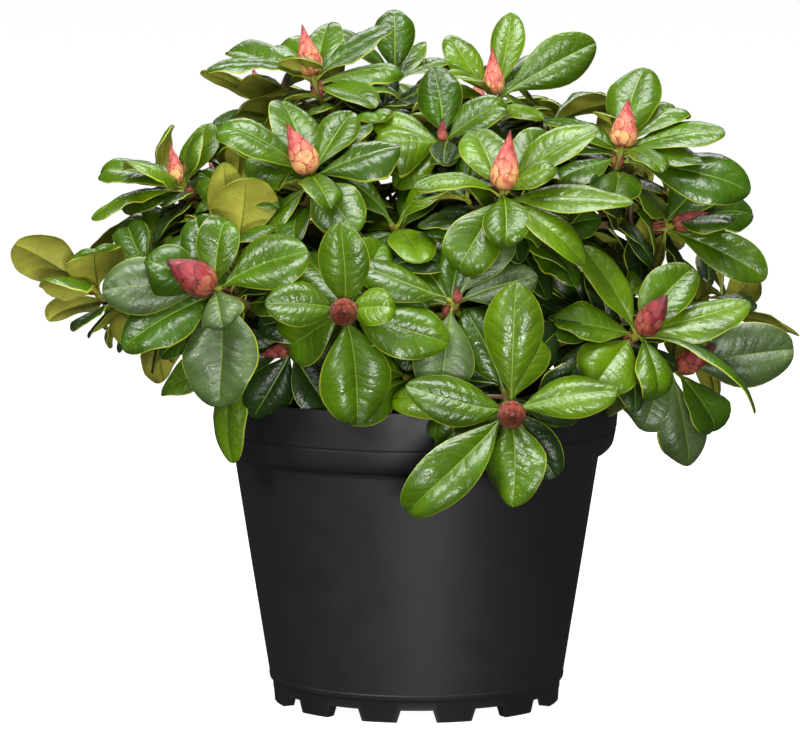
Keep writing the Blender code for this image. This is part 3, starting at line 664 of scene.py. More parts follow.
def leaf_top(name, green):
    made = finish("leaf_" + name, green, 0.34, Specular_IOR_Level=0.35 if name == "dark" else 0.5)
    recipe = Recipe(made)
    veins, swollen, place = vein_pattern(recipe)
    where = recipe.object_place()
    mottle = recipe.mapped(recipe.noise(where, 42.0, 4.0), 0.3, 0.7, 0.64, 1.36)
    base = recipe.tinted(mottle, green)
    pale = [part * 1.5 + 0.002 for part in green]
    base = recipe.blend(recipe.sum("MULTIPLY", veins, 0.32), base, (*pale, 1))
    patch = recipe.softly(recipe.noise(where, 16.0, 2.0), 0.50, 0.62)
    specks = recipe.softly(recipe.noise(where, 820.0, 1.0), 0.715, 0.755)
    base = recipe.blend(recipe.sum("MULTIPLY", recipe.sum("MULTIPLY", specks, patch), 0.55), base, (0.42, 0.50, 0.22, 1))
    recipe.feed(recipe.shader.inputs["Base Color"], base)
    net = recipe.add("ShaderNodeTexVoronoi", {"Vector": recipe.add(
        "ShaderNodeMapping", {"Vector": place, "Scale": (11.0, 25.0, 1.0)}), "Scale": 1.0}, feature="DISTANCE_TO_EDGE")
    net = recipe.mapped(net, 0.0, 0.30, 0.0, 1.0)
    swell = recipe.noise(where, 120.0, 2.0)
    height = recipe.sum("ADD", recipe.sum("MULTIPLY", net, 0.22), recipe.sum("MULTIPLY", swell, 1.2))
    height = recipe.sum("ADD", height, recipe.sum("MULTIPLY", swollen, 0.38))
    recipe.relief(height, 0.40 * MM, 0.85)
    gloss = recipe.mapped(recipe.noise(where, 70.0, 3.0), 0.3, 0.7, *ROUGHNESS.get(name, (0.23, 0.38)))
    recipe.feed(recipe.shader.inputs["Roughness"], gloss)
    return made


def leaf_under():
    # Painted light: this olive is lighter than the underside's own colour, standing in for light shining through the
    # leaf.
    olive = (0.36, 0.355, 0.045)
    made = finish("leaf_underside", olive, 0.6, Specular_IOR_Level=0.3)
    recipe = Recipe(made)
    veins, _, _ = vein_pattern(recipe)
    where = recipe.object_place()
    base = recipe.tinted(recipe.mapped(recipe.noise(where, 45.0, 3.0), 0.3, 0.7, 0.7, 1.25), olive)
    dots = recipe.mapped(recipe.noise(where, 900.0, 1.0), 0.66, 0.72, 0.0, 0.6)
    base = recipe.blend(dots, base, (0.12, 0.10, 0.015, 1))
    base = recipe.blend(recipe.sum("MULTIPLY", veins, 0.16), base, (0.44, 0.44, 0.10, 1))
    recipe.feed(recipe.shader.inputs["Base Color"], base)
    recipe.relief(recipe.sum("ADD", recipe.sum("MULTIPLY", veins, 0.5), recipe.noise(where, 500.0, 3.0)), 0.25 * MM, 0.7)
    return made


leaf_tops = {name: leaf_top(name, green) for name, green in GREENS.items()}
underside = leaf_under()
margin = finish("leaf_margin", (0.24, 0.29, 0.018), 0.45)
midrib = finish("leaf_midrib", (0.115, 0.190, 0.010), 0.40)
stalk = finish("leaf_stalk", (0.24, 0.26, 0.018), 0.45)
print("leaf finishes:", ", ".join(leaf_tops))

# %% [markdown]
# ## One leaf, bent to fit each place
#
# All the leaves are one pattern leaf, bent differently each time. The pattern is a flat grid that is
# given a second layer with solidify, so it is a closed shell from the start. Its X says how far across
# a point is, its Y how far along, and its layer whether it is on top or underneath. Rows crowd towards
# stalk and tip, and the two columns next to the middle make a narrow strip, the pale midrib.

# %% The pattern leaf
ROWS = (0, 0.05, 0.10, 0.14, 0.19, 0.25, 0.32, 0.40, 0.48, 0.56, 0.64, 0.72, 0.79, 0.85, 0.90, 0.94, 0.97, 0.99, 1)
COLUMNS = (0, None, 0.27, 0.52, 0.74, 0.88, 0.972, 1)
STALK_END = 0.12
RIB_END = 0.95
SLOT_TOP, SLOT_UNDER, SLOT_MARGIN, SLOT_RIB, SLOT_STALK = range(5)


def pattern_leaf():
    bm = bmesh.new()
    across, along = 2 * (len(COLUMNS) - 1), len(ROWS) - 1
    bmesh.ops.create_grid(bm, x_segments=across, y_segments=along, size=1)
    bmesh.ops.solidify(bm, geom=bm.faces[:], thickness=1.0)
    for vert in bm.verts:
        vert.co.z = -1.0 if abs(vert.co.z) > 0.5 else 0.0
    bm.normal_update()
    bmesh.ops.recalc_face_normals(bm, faces=bm.faces)
    bm.verts.index_update()
    places = []
    for vert in bm.verts:
        column = round(vert.co.x * (len(COLUMNS) - 1))
        row = round((vert.co.y + 1) / 2 * along)
        places.append((column, row, vert.co.z < -0.5))
    corners, slots = [], []
    for face in bm.faces:
        found = [vert.index for vert in face.verts]
        corners.append(found)
        middle = sum((ROWS[places[index][1]] for index in found)) / len(found)
        inner = all(abs(places[index][0]) <= 1 for index in found)
        outer = all(abs(places[index][0]) >= len(COLUMNS) - 2 for index in found)
        if middle < STALK_END:
            slots.append(SLOT_STALK)
        elif abs(face.normal.z) < 0.5 or outer:
            slots.append(SLOT_MARGIN)
        elif inner and middle < RIB_END:
            slots.append(SLOT_RIB)
        else:
            slots.append(SLOT_TOP if face.normal.z > 0 else SLOT_UNDER)
    bm.free()
    return places, corners, slots


places, leaf_corners, leaf_slots = pattern_leaf()
leaf_column = np.array([place[0] for place in places])
leaf_row = np.array([ROWS[place[1]] for place in places])
leaf_layer = np.array([float(place[2]) for place in places])
leaf_side = np.array([COLUMNS[abs(place[0])] or 0 for place in places]) * np.sign(leaf_column)
leaf_is_rib = np.abs(leaf_column) == 1
print(len(places), "points and", len(leaf_corners), "faces in the pattern leaf")

# %% [markdown]
# The outline narrows gently to the stalk, is widest past the middle and rounds off to a blunt tip. In
# section the blade has a groove along the midrib, swells on either side and rolls down at the edge.
# Along its length it follows the arc of its droop, and each leaf gets its own small twist and wave.

# %% Bend the pattern into a leaf
RIB_HALF = 0.42 * MM
STALK_HALF = 1.15 * MM
STALK_DEPTH = 1.9 * MM
BLADE_DEPTH = 0.45 * MM
TIP_HALF = 0.25 * MM


def outline(part, blunt, foot, tip):
    """Half of the leaf's width at a part of its length, as a share of the widest."""
    blade = np.clip((part - STALK_END) / (1 - STALK_END), 0, 1)
    return np.sin(np.pi * blade ** blunt) ** (foot + (tip - foot) * blade)


def smooth_step(value, low, high):
    share = np.clip((value - low) / (high - low), 0, 1)
    return share * share * (3 - 2 * share)


def bent_leaf(leaf, form):
    row, side = leaf_row, leaf_side
    blade = smooth_step(row, 0.09, 0.24)
    half = np.maximum(leaf.width / 2 * outline(row, form["blunt"], form["foot"], form["tip"]),
                      np.where(row < 0.5, STALK_HALF, TIP_HALF))
    rib = RIB_HALF * (1.25 - 0.85 * row)
    across = np.where(leaf_is_rib, np.sign(leaf_column) * np.minimum(rib, half * 0.5), side * half)
    share = np.abs(across) / half
    hand = np.sign(across)
    roll = form["roll"] * (1 + form["lean"] * hand)
    height = half * blade * (form["fold"] * share - roll * share ** 2.6)
    height -= blade * 0.62 * MM * np.exp(-((across / (1.2 * MM)) ** 2)) * (1 - 0.5 * row)
    wave = np.sin(row * form["waves"] + form["phase"] + hand * 0.9)
    ripple = np.sin(row * form["waves"] * 2.7 + form["phase"] * 3 + hand * 2.0)
    wave = wave + 0.4 * ripple
    height += blade * wave * share ** 2 * form["wave"] * half * smooth_step(1 - row, 0.0, 0.25)
    height += blade * 0.4 * MM * np.sin(row * 26 + share * 3 + form["phase"]) * share * (1 - share ** 4)
    height -= (1 - blade) * 0.7 * MM * share ** 2
    depth = BLADE_DEPTH + (STALK_DEPTH - BLADE_DEPTH) * (1 - blade) * (1 - 0.6 * share ** 2)
    depth = depth + blade * 1.0 * MM * (1.05 - row) * np.exp(-((across / (0.9 * MM)) ** 2))
    depth = np.where(share > 0.97, np.minimum(depth, BLADE_DEPTH * 0.8 + (1 - blade) * 0.6 * MM), depth)
    height = height - leaf_layer * depth
    rows = np.array(ROWS)
    first = leaf.droop / 2

    def slope(part):
        hook = form["hook"] * smooth_step(part, form["hook_from"], 1.0) ** 1.6
        return first - leaf.droop * part - hook

    angle = slope(row)
    step = np.array([0, *np.diff(ROWS)]) * leaf.length
    row_angle = slope(rows)
    between = np.array([row_angle[0], *((row_angle[1:] + row_angle[:-1]) / 2)])
    index = np.searchsorted(rows, row)
    ahead = np.cumsum(np.cos(between) * step)[index]
    rise = np.cumsum(np.sin(between) * step)[index]
    sway = form["sway"] * leaf.length * np.sin(np.pi * row) * blade
    twist = form["twist"] * smooth_step(row, 0.1, 1.0)
    along, up = np.array(leaf.along), np.array(leaf.up)
    sideways = np.cross(along, up)
    lifted = np.outer(np.cos(angle), up) - np.outer(np.sin(angle), along)
    turned_side = sideways * np.cos(twist)[:, None] + lifted * np.sin(twist)[:, None]
    turned_up = lifted * np.cos(twist)[:, None] - sideways * np.sin(twist)[:, None]
    middle = np.array(leaf.root) + np.outer(ahead, along) + np.outer(rise, up) + np.outer(sway, sideways)
    return middle + turned_side * across[:, None] + turned_up * height[:, None]


def leaf_form(rng):
    """How one leaf differs from the next. About one in four ends in a hooked tip."""
    hooked = rng.random() < 0.27
    return {
        "blunt": rng.uniform(1.02, 1.55), "foot": rng.uniform(0.70, 1.05), "tip": rng.uniform(0.38, 0.58),
        "fold": rng.uniform(0.20, 0.55), "roll": rng.uniform(0.30, 0.75), "lean": rng.uniform(-0.45, 0.45),
        "waves": rng.uniform(4, 10), "phase": rng.uniform(0, 6.3), "wave": rng.uniform(0.04, 0.18),
        "sway": rng.uniform(-0.04, 0.04), "twist": rng.uniform(-0.34, 0.34),
        "hook": rng.uniform(0.7, 1.5) if hooked else rng.uniform(-0.1, 0.4), "hook_from": rng.uniform(0.55, 0.75),
    }


# %% [markdown]
# Hundreds of copies would be slow as separate objects. So the bent copies of one mass are stacked into
# one mesh: their points, faces, materials and maps are laid end to end in arrays. The tint of a leaf
# belongs to its spray and its age: older leaves are darker, partly in their own colour and partly as
# painted shade, and young ones fresher. Leaves near the crown's middle also get the deep and dark tints,
# as painted shade.

# %% Join the leaves of each mass
def joined(name, parts, corners, slots, materials, map_name, across, along):
    """One mesh from many bent copies of a pattern. Each part is its points, its tint's slot shift and, for
    a second map named "own", a pair of numbers for each point."""
    count = len(parts[0][0])
    points = np.concatenate([part[0] for part in parts])
    faces = [[index + copy * count for index in face] for copy in range(len(parts)) for face in corners]
    mesh = bpy.data.meshes.new(name)
    mesh.from_pydata(points, [], faces)
    for material in materials:
        mesh.materials.append(material)
    chosen = np.concatenate([[part[1].get(slot, slot) for slot in slots] for part in parts])
    mesh.polygons.foreach_set("material_index", chosen.astype(np.int32))
    corner_points = np.empty(len(mesh.loops), np.int32)
    mesh.loops.foreach_get("vertex_index", corner_points)
    place = np.stack([across, along], axis=1)[corner_points % count]
    mesh.uv_layers.new(name=map_name).data.foreach_set("uv", place.astype(np.float32).ravel())
    if len(parts[0]) > 2:
        own = np.concatenate([part[2] for part in parts])[corner_points]
        mesh.uv_layers.new(name="own").data.foreach_set("uv", own.astype(np.float32).ravel())
    mesh.shade_smooth()
    mesh.set_sharp_from_angle(angle=math.radians(60))
    obj = bpy.data.objects.new(name, mesh)
    bpy.context.scene.collection.objects.link(obj)
    return obj


tint_names = list(GREENS)
leaf_materials = [leaf_tops["mid"], underside, margin, midrib, stalk,
                  *(leaf_tops[name] for name in tint_names[1:])]


# The sprays that show from the front, and how often each tint falls on their leaves.
SPRAY_TINTS = {
    (-59, 0, 357): "mid mid deep", (44, 5, 346): "mid fresh", (115, -40, 320): "mid mid deep",
    (-59, -80, 309): "mid deep mid", (47, -100, 301): "fresh mid mid", (-112, -115, 248): "mid deep dusty",
    (-101, -70, 262): "yellow", (-40, -125, 236): "mid deep mid fresh", (22, -115, 241): "deep dusty mid",
    (51, -141, 182): "fresh fresh mid", (124, -90, 221): "mid fresh deep", (146, -60, 197): "dusty dusty deep",
    (146, -8, 272): "mid deep", (-135, 0, 296): "mid fresh", (-180, -45, 238): "mid", (100, -44, 224): "deep dark",
    (-71, -85, 211): "dark dusty dark",
}
OTHER_TINTS = "mid mid fresh deep deep"


def tint_of(index, order, leaf, rng):
    """A leaf's tint by its spray and its age, fresh by the bud, with deep and dark tints inside the crown as painted
    shade.
    """
    # Old leaves get deep and dark tints: partly their own older colour, partly painted shade inside the crown.
    if order >= OLD_ORDER:
        return rng.choice(("deep", "dark", "dark"))
    # Painted shade: leaves near the crown's middle get deep and dark tints.
    if (leaf.root - CROWN_MIDDLE).length < 75 * MM:
        return rng.choice(("deep", "dark", "dark"))
    return rng.choice(SPRAY_TINTS.get(spray_key(shoots[index]), OTHER_TINTS).split())


def spray_key(shoot):
    return tuple(round(c / MM) for c in shoot.centre)


leaf_rng = random.Random(SEED + 2)
by_mass = {name: [] for name in MASSES}
for index, order, leaf in placed:
    tint = tint_of(index, order, leaf, leaf_rng)
    shift = 0 if tint == "mid" else 4 + tint_names.index(tint)
    by_mass[shoots[index].mass].append((bent_leaf(leaf, leaf_form(leaf_rng)), {SLOT_TOP: shift}))
leaf_u, leaf_v = (leaf_side + 1) / 2, leaf_row
for name, parts in by_mass.items():
    piece = joined("leaves_" + name, parts, leaf_corners, leaf_slots, leaf_materials, "leaf", leaf_u, leaf_v)
    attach(piece, "root")
    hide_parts("foliage_" + name)
print(len(placed), "fine leaves,", len(placed) * len(leaf_corners) * 2, "triangles")

# %% [markdown]
# ## Twigs, boughs and trunk
#
# Under the leaves the wood shows here and there: young twigs are green, flushed with pinkish brown and
# ringed by old leaf scars, and turn grey-brown and rough as they thicken. Each limb runs along the same
# curve as its solid, with more rings and sides, and the bark is a real relief, not only a pattern.

# %% Bark and twig finishes
def bark_finish():
    made = finish("bark", (0.15, 0.105, 0.07), 0.85)
    recipe = Recipe(made)
    where = recipe.object_place()
    long_grain = recipe.add("ShaderNodeMapping", {"Vector": where, "Scale": (1.0, 1.0, 0.22)})
    ridges = recipe.noise(long_grain, 330.0, 5.0)
    colour = recipe.blend(recipe.mapped(ridges, 0.35, 0.68), (0.055, 0.036, 0.024, 1), (0.25, 0.185, 0.13, 1))
    recipe.feed(recipe.shader.inputs["Base Color"], colour)
    recipe.relief(ridges, 0.7 * MM, 0.8)
    return made


def twig_finish():
    made = finish("twig", (0.16, 0.13, 0.05), 0.6)
    recipe = Recipe(made)
    where = recipe.object_place()
    _, _, along = recipe.map_place("twig")
    patches = recipe.mapped(recipe.noise(where, 120.0, 3.0), 0.3, 0.7, -0.16, 0.16)
    age = recipe.mapped(recipe.sum("ADD", along, patches), 0.35, 0.95, 0.0, 1.0)
    colour = recipe.blend(age, (0.115, 0.068, 0.036, 1), (0.20, 0.20, 0.022, 1))
    recipe.feed(recipe.shader.inputs["Base Color"], colour)
    recipe.relief(recipe.noise(where, 800.0, 3.0), 0.3 * MM, 0.6)
    return made


bark = bark_finish()
green_twig = twig_finish()

# %% Trunk and boughs with their bark
TRUNK_STEPS, BOUGH_STEPS = 22, 26
TRUNK_FACETS, BOUGH_FACETS = 20, 12
BARK_RELIEF = 0.09


def rough_bark(bm, scale):
    """Pushes each point out or in by a noise that is stretched along the limb."""
    bm.normal_update()
    for vert in bm.verts:
        place = Vector((vert.co.x * 170, vert.co.y * 170, vert.co.z * 55))
        vert.co += vert.normal * noise.fractal(place, 1.0, 2.1, 3) * scale


def object_from(bm, name, material):
    mesh = bpy.data.meshes.new(name)
    bm.to_mesh(mesh)
    bm.free()
    mesh.materials.append(material)
    mesh.shade_smooth()
    mesh.set_sharp_from_angle(angle=math.radians(50))
    obj = bpy.data.objects.new(name, mesh)
    bpy.context.scene.collection.objects.link(obj)
    return obj


def on_the_plant(piece, slot, *stands_for):
    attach(piece, "root")
    if stands_for:
        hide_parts(*stands_for)


heights = np.linspace(0, TRUNK_RINGS[-1][0], TRUNK_STEPS)
told_heights, told_radii = zip(*TRUNK_RINGS)
radii = [radius * MM for radius in np.interp(heights, told_heights, told_radii)]
trunk_bm = swept([trunk_point(height) for height in heights], radii, TRUNK_FACETS, leaves=Vector((0, 0, 1)))
foot = [vert for vert in trunk_bm.verts if vert.co.z < TRUNK_FOOT.z + 0.5 * MM]
rough_bark(trunk_bm, 0.9 * MM)
for vert in foot:
    vert.co.z = TRUNK_FOOT.z
on_the_plant(object_from(trunk_bm, "trunk_bark", bark), "bark", "trunk")
for name, (_, height, radius) in MASSES.items():
    hub, way = mass_frame(name)
    start = trunk_point(height)
    finish_point = hub - way * (STEM_LENGTH - 3 * MM)
    out = Vector((finish_point.x - start.x, finish_point.y - start.y, 0)).normalized()
    out += Vector((0, 0, 2.2 if height > 50 else 0.55))
    points = path(start, out, finish_point, way, BOUGH_STEPS)
    bough_bm = swept(points, tapered(radius * MM, BOUGH_TIP_RADIUS, BOUGH_STEPS), BOUGH_FACETS, arrives=way)
    rough_bark(bough_bm, 0.45 * MM)
    on_the_plant(object_from(bough_bm, "bough_bark_" + name, bark), "bark", "bough_" + name)
print("trunk and", len(MASSES), "boughs")

# %% [markdown]
# A twig's radius rises and falls a little at random from ring to ring, as a real twig swells where a
# leaf sat and at each year's end. The map named "twig" runs along it from the old wood to the young tip,
# for the change of colour.

# %% Twigs
TWIG_STEPS, TWIG_FACETS, SIDE_STEPS = 16, 7, 9
TIP_THICK, FOOT_THICK = 1.75, 2.6


def twig_mesh(points, radii):
    bm = swept(points, radii, TWIG_FACETS)
    layer = bm.loops.layers.uv.new("twig")
    lengths = np.cumsum([0, *((after - before).length for before, after in zip(points, points[1:]))])
    spots = np.array(points)
    for face in bm.faces:
        for loop in face.loops:
            near = int(np.argmin(((spots - np.array(loop.vert.co)) ** 2).sum(1)))
            loop[layer].uv = (0.5, lengths[near] / lengths[-1])
    return bm


def merged(name, meshes, material, slot):
    whole = bmesh.new()
    for bm in meshes:
        spare = bpy.data.meshes.new("spare")
        bm.to_mesh(spare)
        bm.free()
        whole.from_mesh(spare)
        bpy.data.meshes.remove(spare)
    piece = object_from(whole, name, material)
    on_the_plant(piece, slot)
    return piece


twig_rng = random.Random(SEED + 3)
twigs = []
for index, shoot in enumerate(shoots):
    points = twig_path(index, shoot, TWIG_STEPS)
    radii = tapered(FOOT_THICK * MM, TIP_THICK * MM, TWIG_STEPS)
    radii = [radius * twig_rng.uniform(0.93, 1.12) for radius in radii]
    twigs.append(twig_mesh(points, radii))
for side in side_twigs:
    twigs.append(twig_mesh(path(*side, SIDE_STEPS), tapered(1.5 * MM, 1.1 * MM, SIDE_STEPS)))
for name in MASSES:
    hub, way = mass_frame(name)
    points = [hub - way * (STEM_LENGTH - 2 * MM), hub - way * 5 * MM, hub + way * 3 * MM]
    twigs.append(twig_mesh(points, [2.7 * MM, 2.9 * MM, 2.3 * MM]))
merged("twigs", twigs, green_twig, "foliage")
for bm in stems.values():
    bm.free()
print(len(twigs), "twigs")

# %% [markdown]
# ## Winter buds
#
# A flower bud is a pointed egg wrapped in overlapping scales, set in a spiral like tiles on a roof.
# High on this plant they are rose, with a cream base and a darker rim. In front on the left one is
# crimson, and the low ones that point at the eye are small, brown-red and sticky. One scale is made
# from a small grid, given a thickness with solidify, and wrapped on the egg many times by its place in
# the spiral: how high it starts, and how far round it stands.

# %% Bud finishes
BUD_COLOURS = {
    "rose": ((0.80, 0.44, 0.15), (0.70, 0.17, 0.13), (0.46, 0.045, 0.055), (0.22, 0.018, 0.016)),
    "crimson": ((0.42, 0.12, 0.06), (0.30, 0.022, 0.028), (0.18, 0.010, 0.020), (0.07, 0.006, 0.007)),
    "brown": ((0.40, 0.13, 0.07), (0.30, 0.045, 0.034), (0.17, 0.018, 0.018), (0.055, 0.009, 0.007)),
}


def bud_finish(name, foot, middle, tip, rim):
    made = finish("bud_" + name, middle, 0.33, Specular_IOR_Level=0.6)
    recipe = Recipe(made)
    place, across, along = recipe.map_place("scale")
    _, height, shade = recipe.map_place("own")
    stretched = recipe.add("ShaderNodeMapping", {"Vector": place, "Scale": (13.0, 1.4, 1.0)})
    streaks = recipe.noise(stretched, 2.2, 4.0)
    stray = recipe.sum("ADD", recipe.mapped(streaks, 0.25, 0.75, -0.32, 0.32), recipe.mapped(shade, 0, 1, -0.12, 0.12))
    level = recipe.sum("ADD", height, stray)
    colour = recipe.blend(recipe.softly(level, 0.30, 0.58), (*foot, 1), (*middle, 1))
    colour = recipe.blend(recipe.softly(level, 0.66, 1.02, 0.0, 0.85), colour, (*tip, 1))
    fine = recipe.noise(stretched, 9.0, 2.0)
    colour = recipe.blend(recipe.softly(fine, 0.48, 0.72, 0.0, 0.75), colour, (*tip, 1))
    blots = recipe.noise(recipe.object_place(), 210.0, 3.0)
    colour = recipe.blend(recipe.softly(blots, 0.47, 0.62, 0.0, 0.75), colour, (*tip, 1))
    colour = recipe.blend(recipe.softly(height, 0.0, 0.16, 0.75, 0.0), colour, (*rim, 1))
    side = recipe.sum("ABSOLUTE", recipe.sum("MULTIPLY_ADD", across, 2.0, -1.0))
    far = recipe.sum("MAXIMUM", side, recipe.sum("MULTIPLY", along, 0.985))
    edge = recipe.softly(recipe.sum("ADD", far, recipe.mapped(streaks, 0.25, 0.75, -0.14, 0.14)), 0.74, 0.96, 0.0, 0.92)
    recipe.feed(recipe.shader.inputs["Base Color"], recipe.blend(edge, colour, (*rim, 1)))
    height = recipe.sum("ADD", streaks, recipe.sum("MULTIPLY", fine, 0.5))
    recipe.relief(recipe.sum("ADD", height, recipe.sum("MULTIPLY", blots, 1.2)), 0.5 * MM, 0.8)
    return made


bud_finishes = {name: bud_finish(name, *colours) for name, colours in BUD_COLOURS.items()}
print(len(bud_finishes), "bud finishes")

# %% The pattern scale and the buds
SCALE_ACROSS, SCALE_ALONG = 8, 8


def pattern_scale():
    bm = bmesh.new()
    bmesh.ops.create_grid(bm, x_segments=SCALE_ACROSS, y_segments=SCALE_ALONG, size=1)
    bmesh.ops.solidify(bm, geom=bm.faces[:], thickness=1.0)
    for vert in bm.verts:
        vert.co.z = -1.0 if abs(vert.co.z) > 0.5 else 0.0
    bm.normal_update()
    bmesh.ops.recalc_face_normals(bm, faces=bm.faces)
    bm.verts.index_update()
    points = np.array([vert.co[:] for vert in bm.verts])
    corners = [[vert.index for vert in face.verts] for face in bm.faces]
    bm.free()
    return points, corners


scale_points, scale_corners = pattern_scale()
scale_u, scale_v = scale_points[:, 0], (scale_points[:, 1] + 1) / 2
scale_layer = scale_points[:, 2]


def egg(part, full):
    """The bud's radius at a part of its height, as a share of the widest. Full buds stay wide for longer."""
    part = np.clip(part, 0, 1)
    slim = np.sin(np.pi * part ** 0.62) ** 0.85 * (1 - 0.42 * part) * 1.08
    plump = np.sin(np.pi * part ** 0.74) ** 0.72 * (1 - 0.20 * part) * 1.05
    return slim + (plump - slim) * full


def scale_on_egg(start, reach, turn, spread, length, width, lift, full):
    """One scale, wrapped round the egg: it starts at a height, reaches further, and covers an angle."""
    taper = np.clip(1 - scale_v ** 2.8, 0, 1) ** 0.62
    taper = taper if spread < math.pi else 1
    height = start + reach * scale_v
    around = turn + scale_u * spread * taper
    stands = lift + 0.2 * MM * (1 - scale_u ** 2)
    radius = egg(height, full) * (width / 2 - 1.3 * MM) + stands * (1 - height ** 3) + scale_layer * 0.5 * MM
    radius = np.maximum(radius, (0.3 + 0.15 * scale_layer) * MM)
    return np.stack([radius * np.cos(around), radius * np.sin(around), height * length - 1 * MM], axis=1)


SCALES = 15
COLLAR_SCALES = 7


def bud_parts(centre, grows, length, width, full, rng):
    """A closed core, and the scales of one bud, from the short ones at its foot to the last at its tip."""
    turn = rng.uniform(0, 6.3)
    place = Matrix.LocRotScale(centre, grows.to_track_quat("Z", "X"), None)
    rotation = np.array(place.to_3x3())
    for order in range(SCALES + 1):
        part = order / SCALES
        start = 0.42 * part ** 1.1
        reach = min((0.30 + 0.26 * part) * rng.uniform(0.92, 1.08), 0.985 - start)
        spread = 0.95 + 0.35 * part
        if order == SCALES:
            start, reach, spread = 0, 1, math.pi
        points = scale_on_egg(start, reach, turn + math.radians(GOLDEN_ANGLE) * order, spread, length, width,
                              1.5 * MM * (1 - part), full)
        own = np.stack([start + reach * scale_v, np.full(len(scale_v), rng.random())], axis=1)
        yield points @ rotation.T + np.array(place.translation), {}, own


def collar_parts(centre, grows, rng):
    """The small brown scales that stay round a twig where its whorl of leaves begins."""
    turn = rng.uniform(0, 6.3)
    place = Matrix.LocRotScale(centre, grows.to_track_quat("Z", "X"), None)
    rotation = np.array(place.to_3x3())
    for order in range(COLLAR_SCALES):
        reach = rng.uniform(0.45, 0.72)
        points = scale_on_egg(0, reach, turn + math.radians(GOLDEN_ANGLE) * order, 0.55, 15 * MM, 8.5 * MM,
                              rng.uniform(0.4, 1.4) * MM, 1)
        own = np.stack([reach * scale_v, np.full(len(scale_v), rng.random())], axis=1)
        yield points @ rotation.T + np.array(place.translation), {}, own


def bud_colour(index, shoot):
    if index >= len(FRONT_SHOOTS):
        return "rose" if shoot.centre.z > 0.27 else "crimson"
    return BUD_KINDS.get(spray_key(shoot), "rose")


BUD_KINDS = {
    (-112, -115, 248): "crimson", (-40, -125, 236): "brown", (51, -141, 182): "brown", (22, -115, 241): "brown",
    (124, -90, 221): "crimson", (146, -60, 197): "crimson", (14, -45, 324): "crimson", (-71, -85, 211): "brown",
    (146, -8, 272): "crimson", (-135, 0, 296): "rose", (-180, -45, 238): "crimson",
}
COLLAR_BACK = 15 * MM
bud_rng = random.Random(SEED + 4)
by_colour = {name: [] for name in BUD_COLOURS}
bud_count = 0
for index, shoot in enumerate(shoots):
    collar = back_from_end(twig_paths[index], COLLAR_BACK)
    by_colour["brown"].extend(collar_parts(collar, (shoot.centre - collar).normalized(), bud_rng))
    if not shoot.bud:
        continue
    length, width = (side * MM for side in shoot.bud)
    colour = bud_colour(index, shoot)
    by_colour[colour].extend(bud_parts(shoot.centre, shoot.grows, length, width, colour != "rose", bud_rng))
    bud_count += 1
for name, parts in by_colour.items():
    if parts:
        piece = joined("buds_" + name, parts, scale_corners, [0] * len(scale_corners), [bud_finishes[name]],
                       "scale", (scale_u + 1) / 2, scale_v)
        on_the_plant(piece, "foliage")
print(bud_count, "buds")

# %% [markdown]
# ## The nursery pot
#
# The pot is thin black plastic, moulded in one piece: a deep collar with a groove, a body that tapers to
# a ring of feet, and gaps between the feet for water. It is a profile spun round, which a Screw
# modifier could do too, but the spin operator leaves a plain mesh that the next step can cut. The gaps
# are cut by twelve wedges in one Boolean.

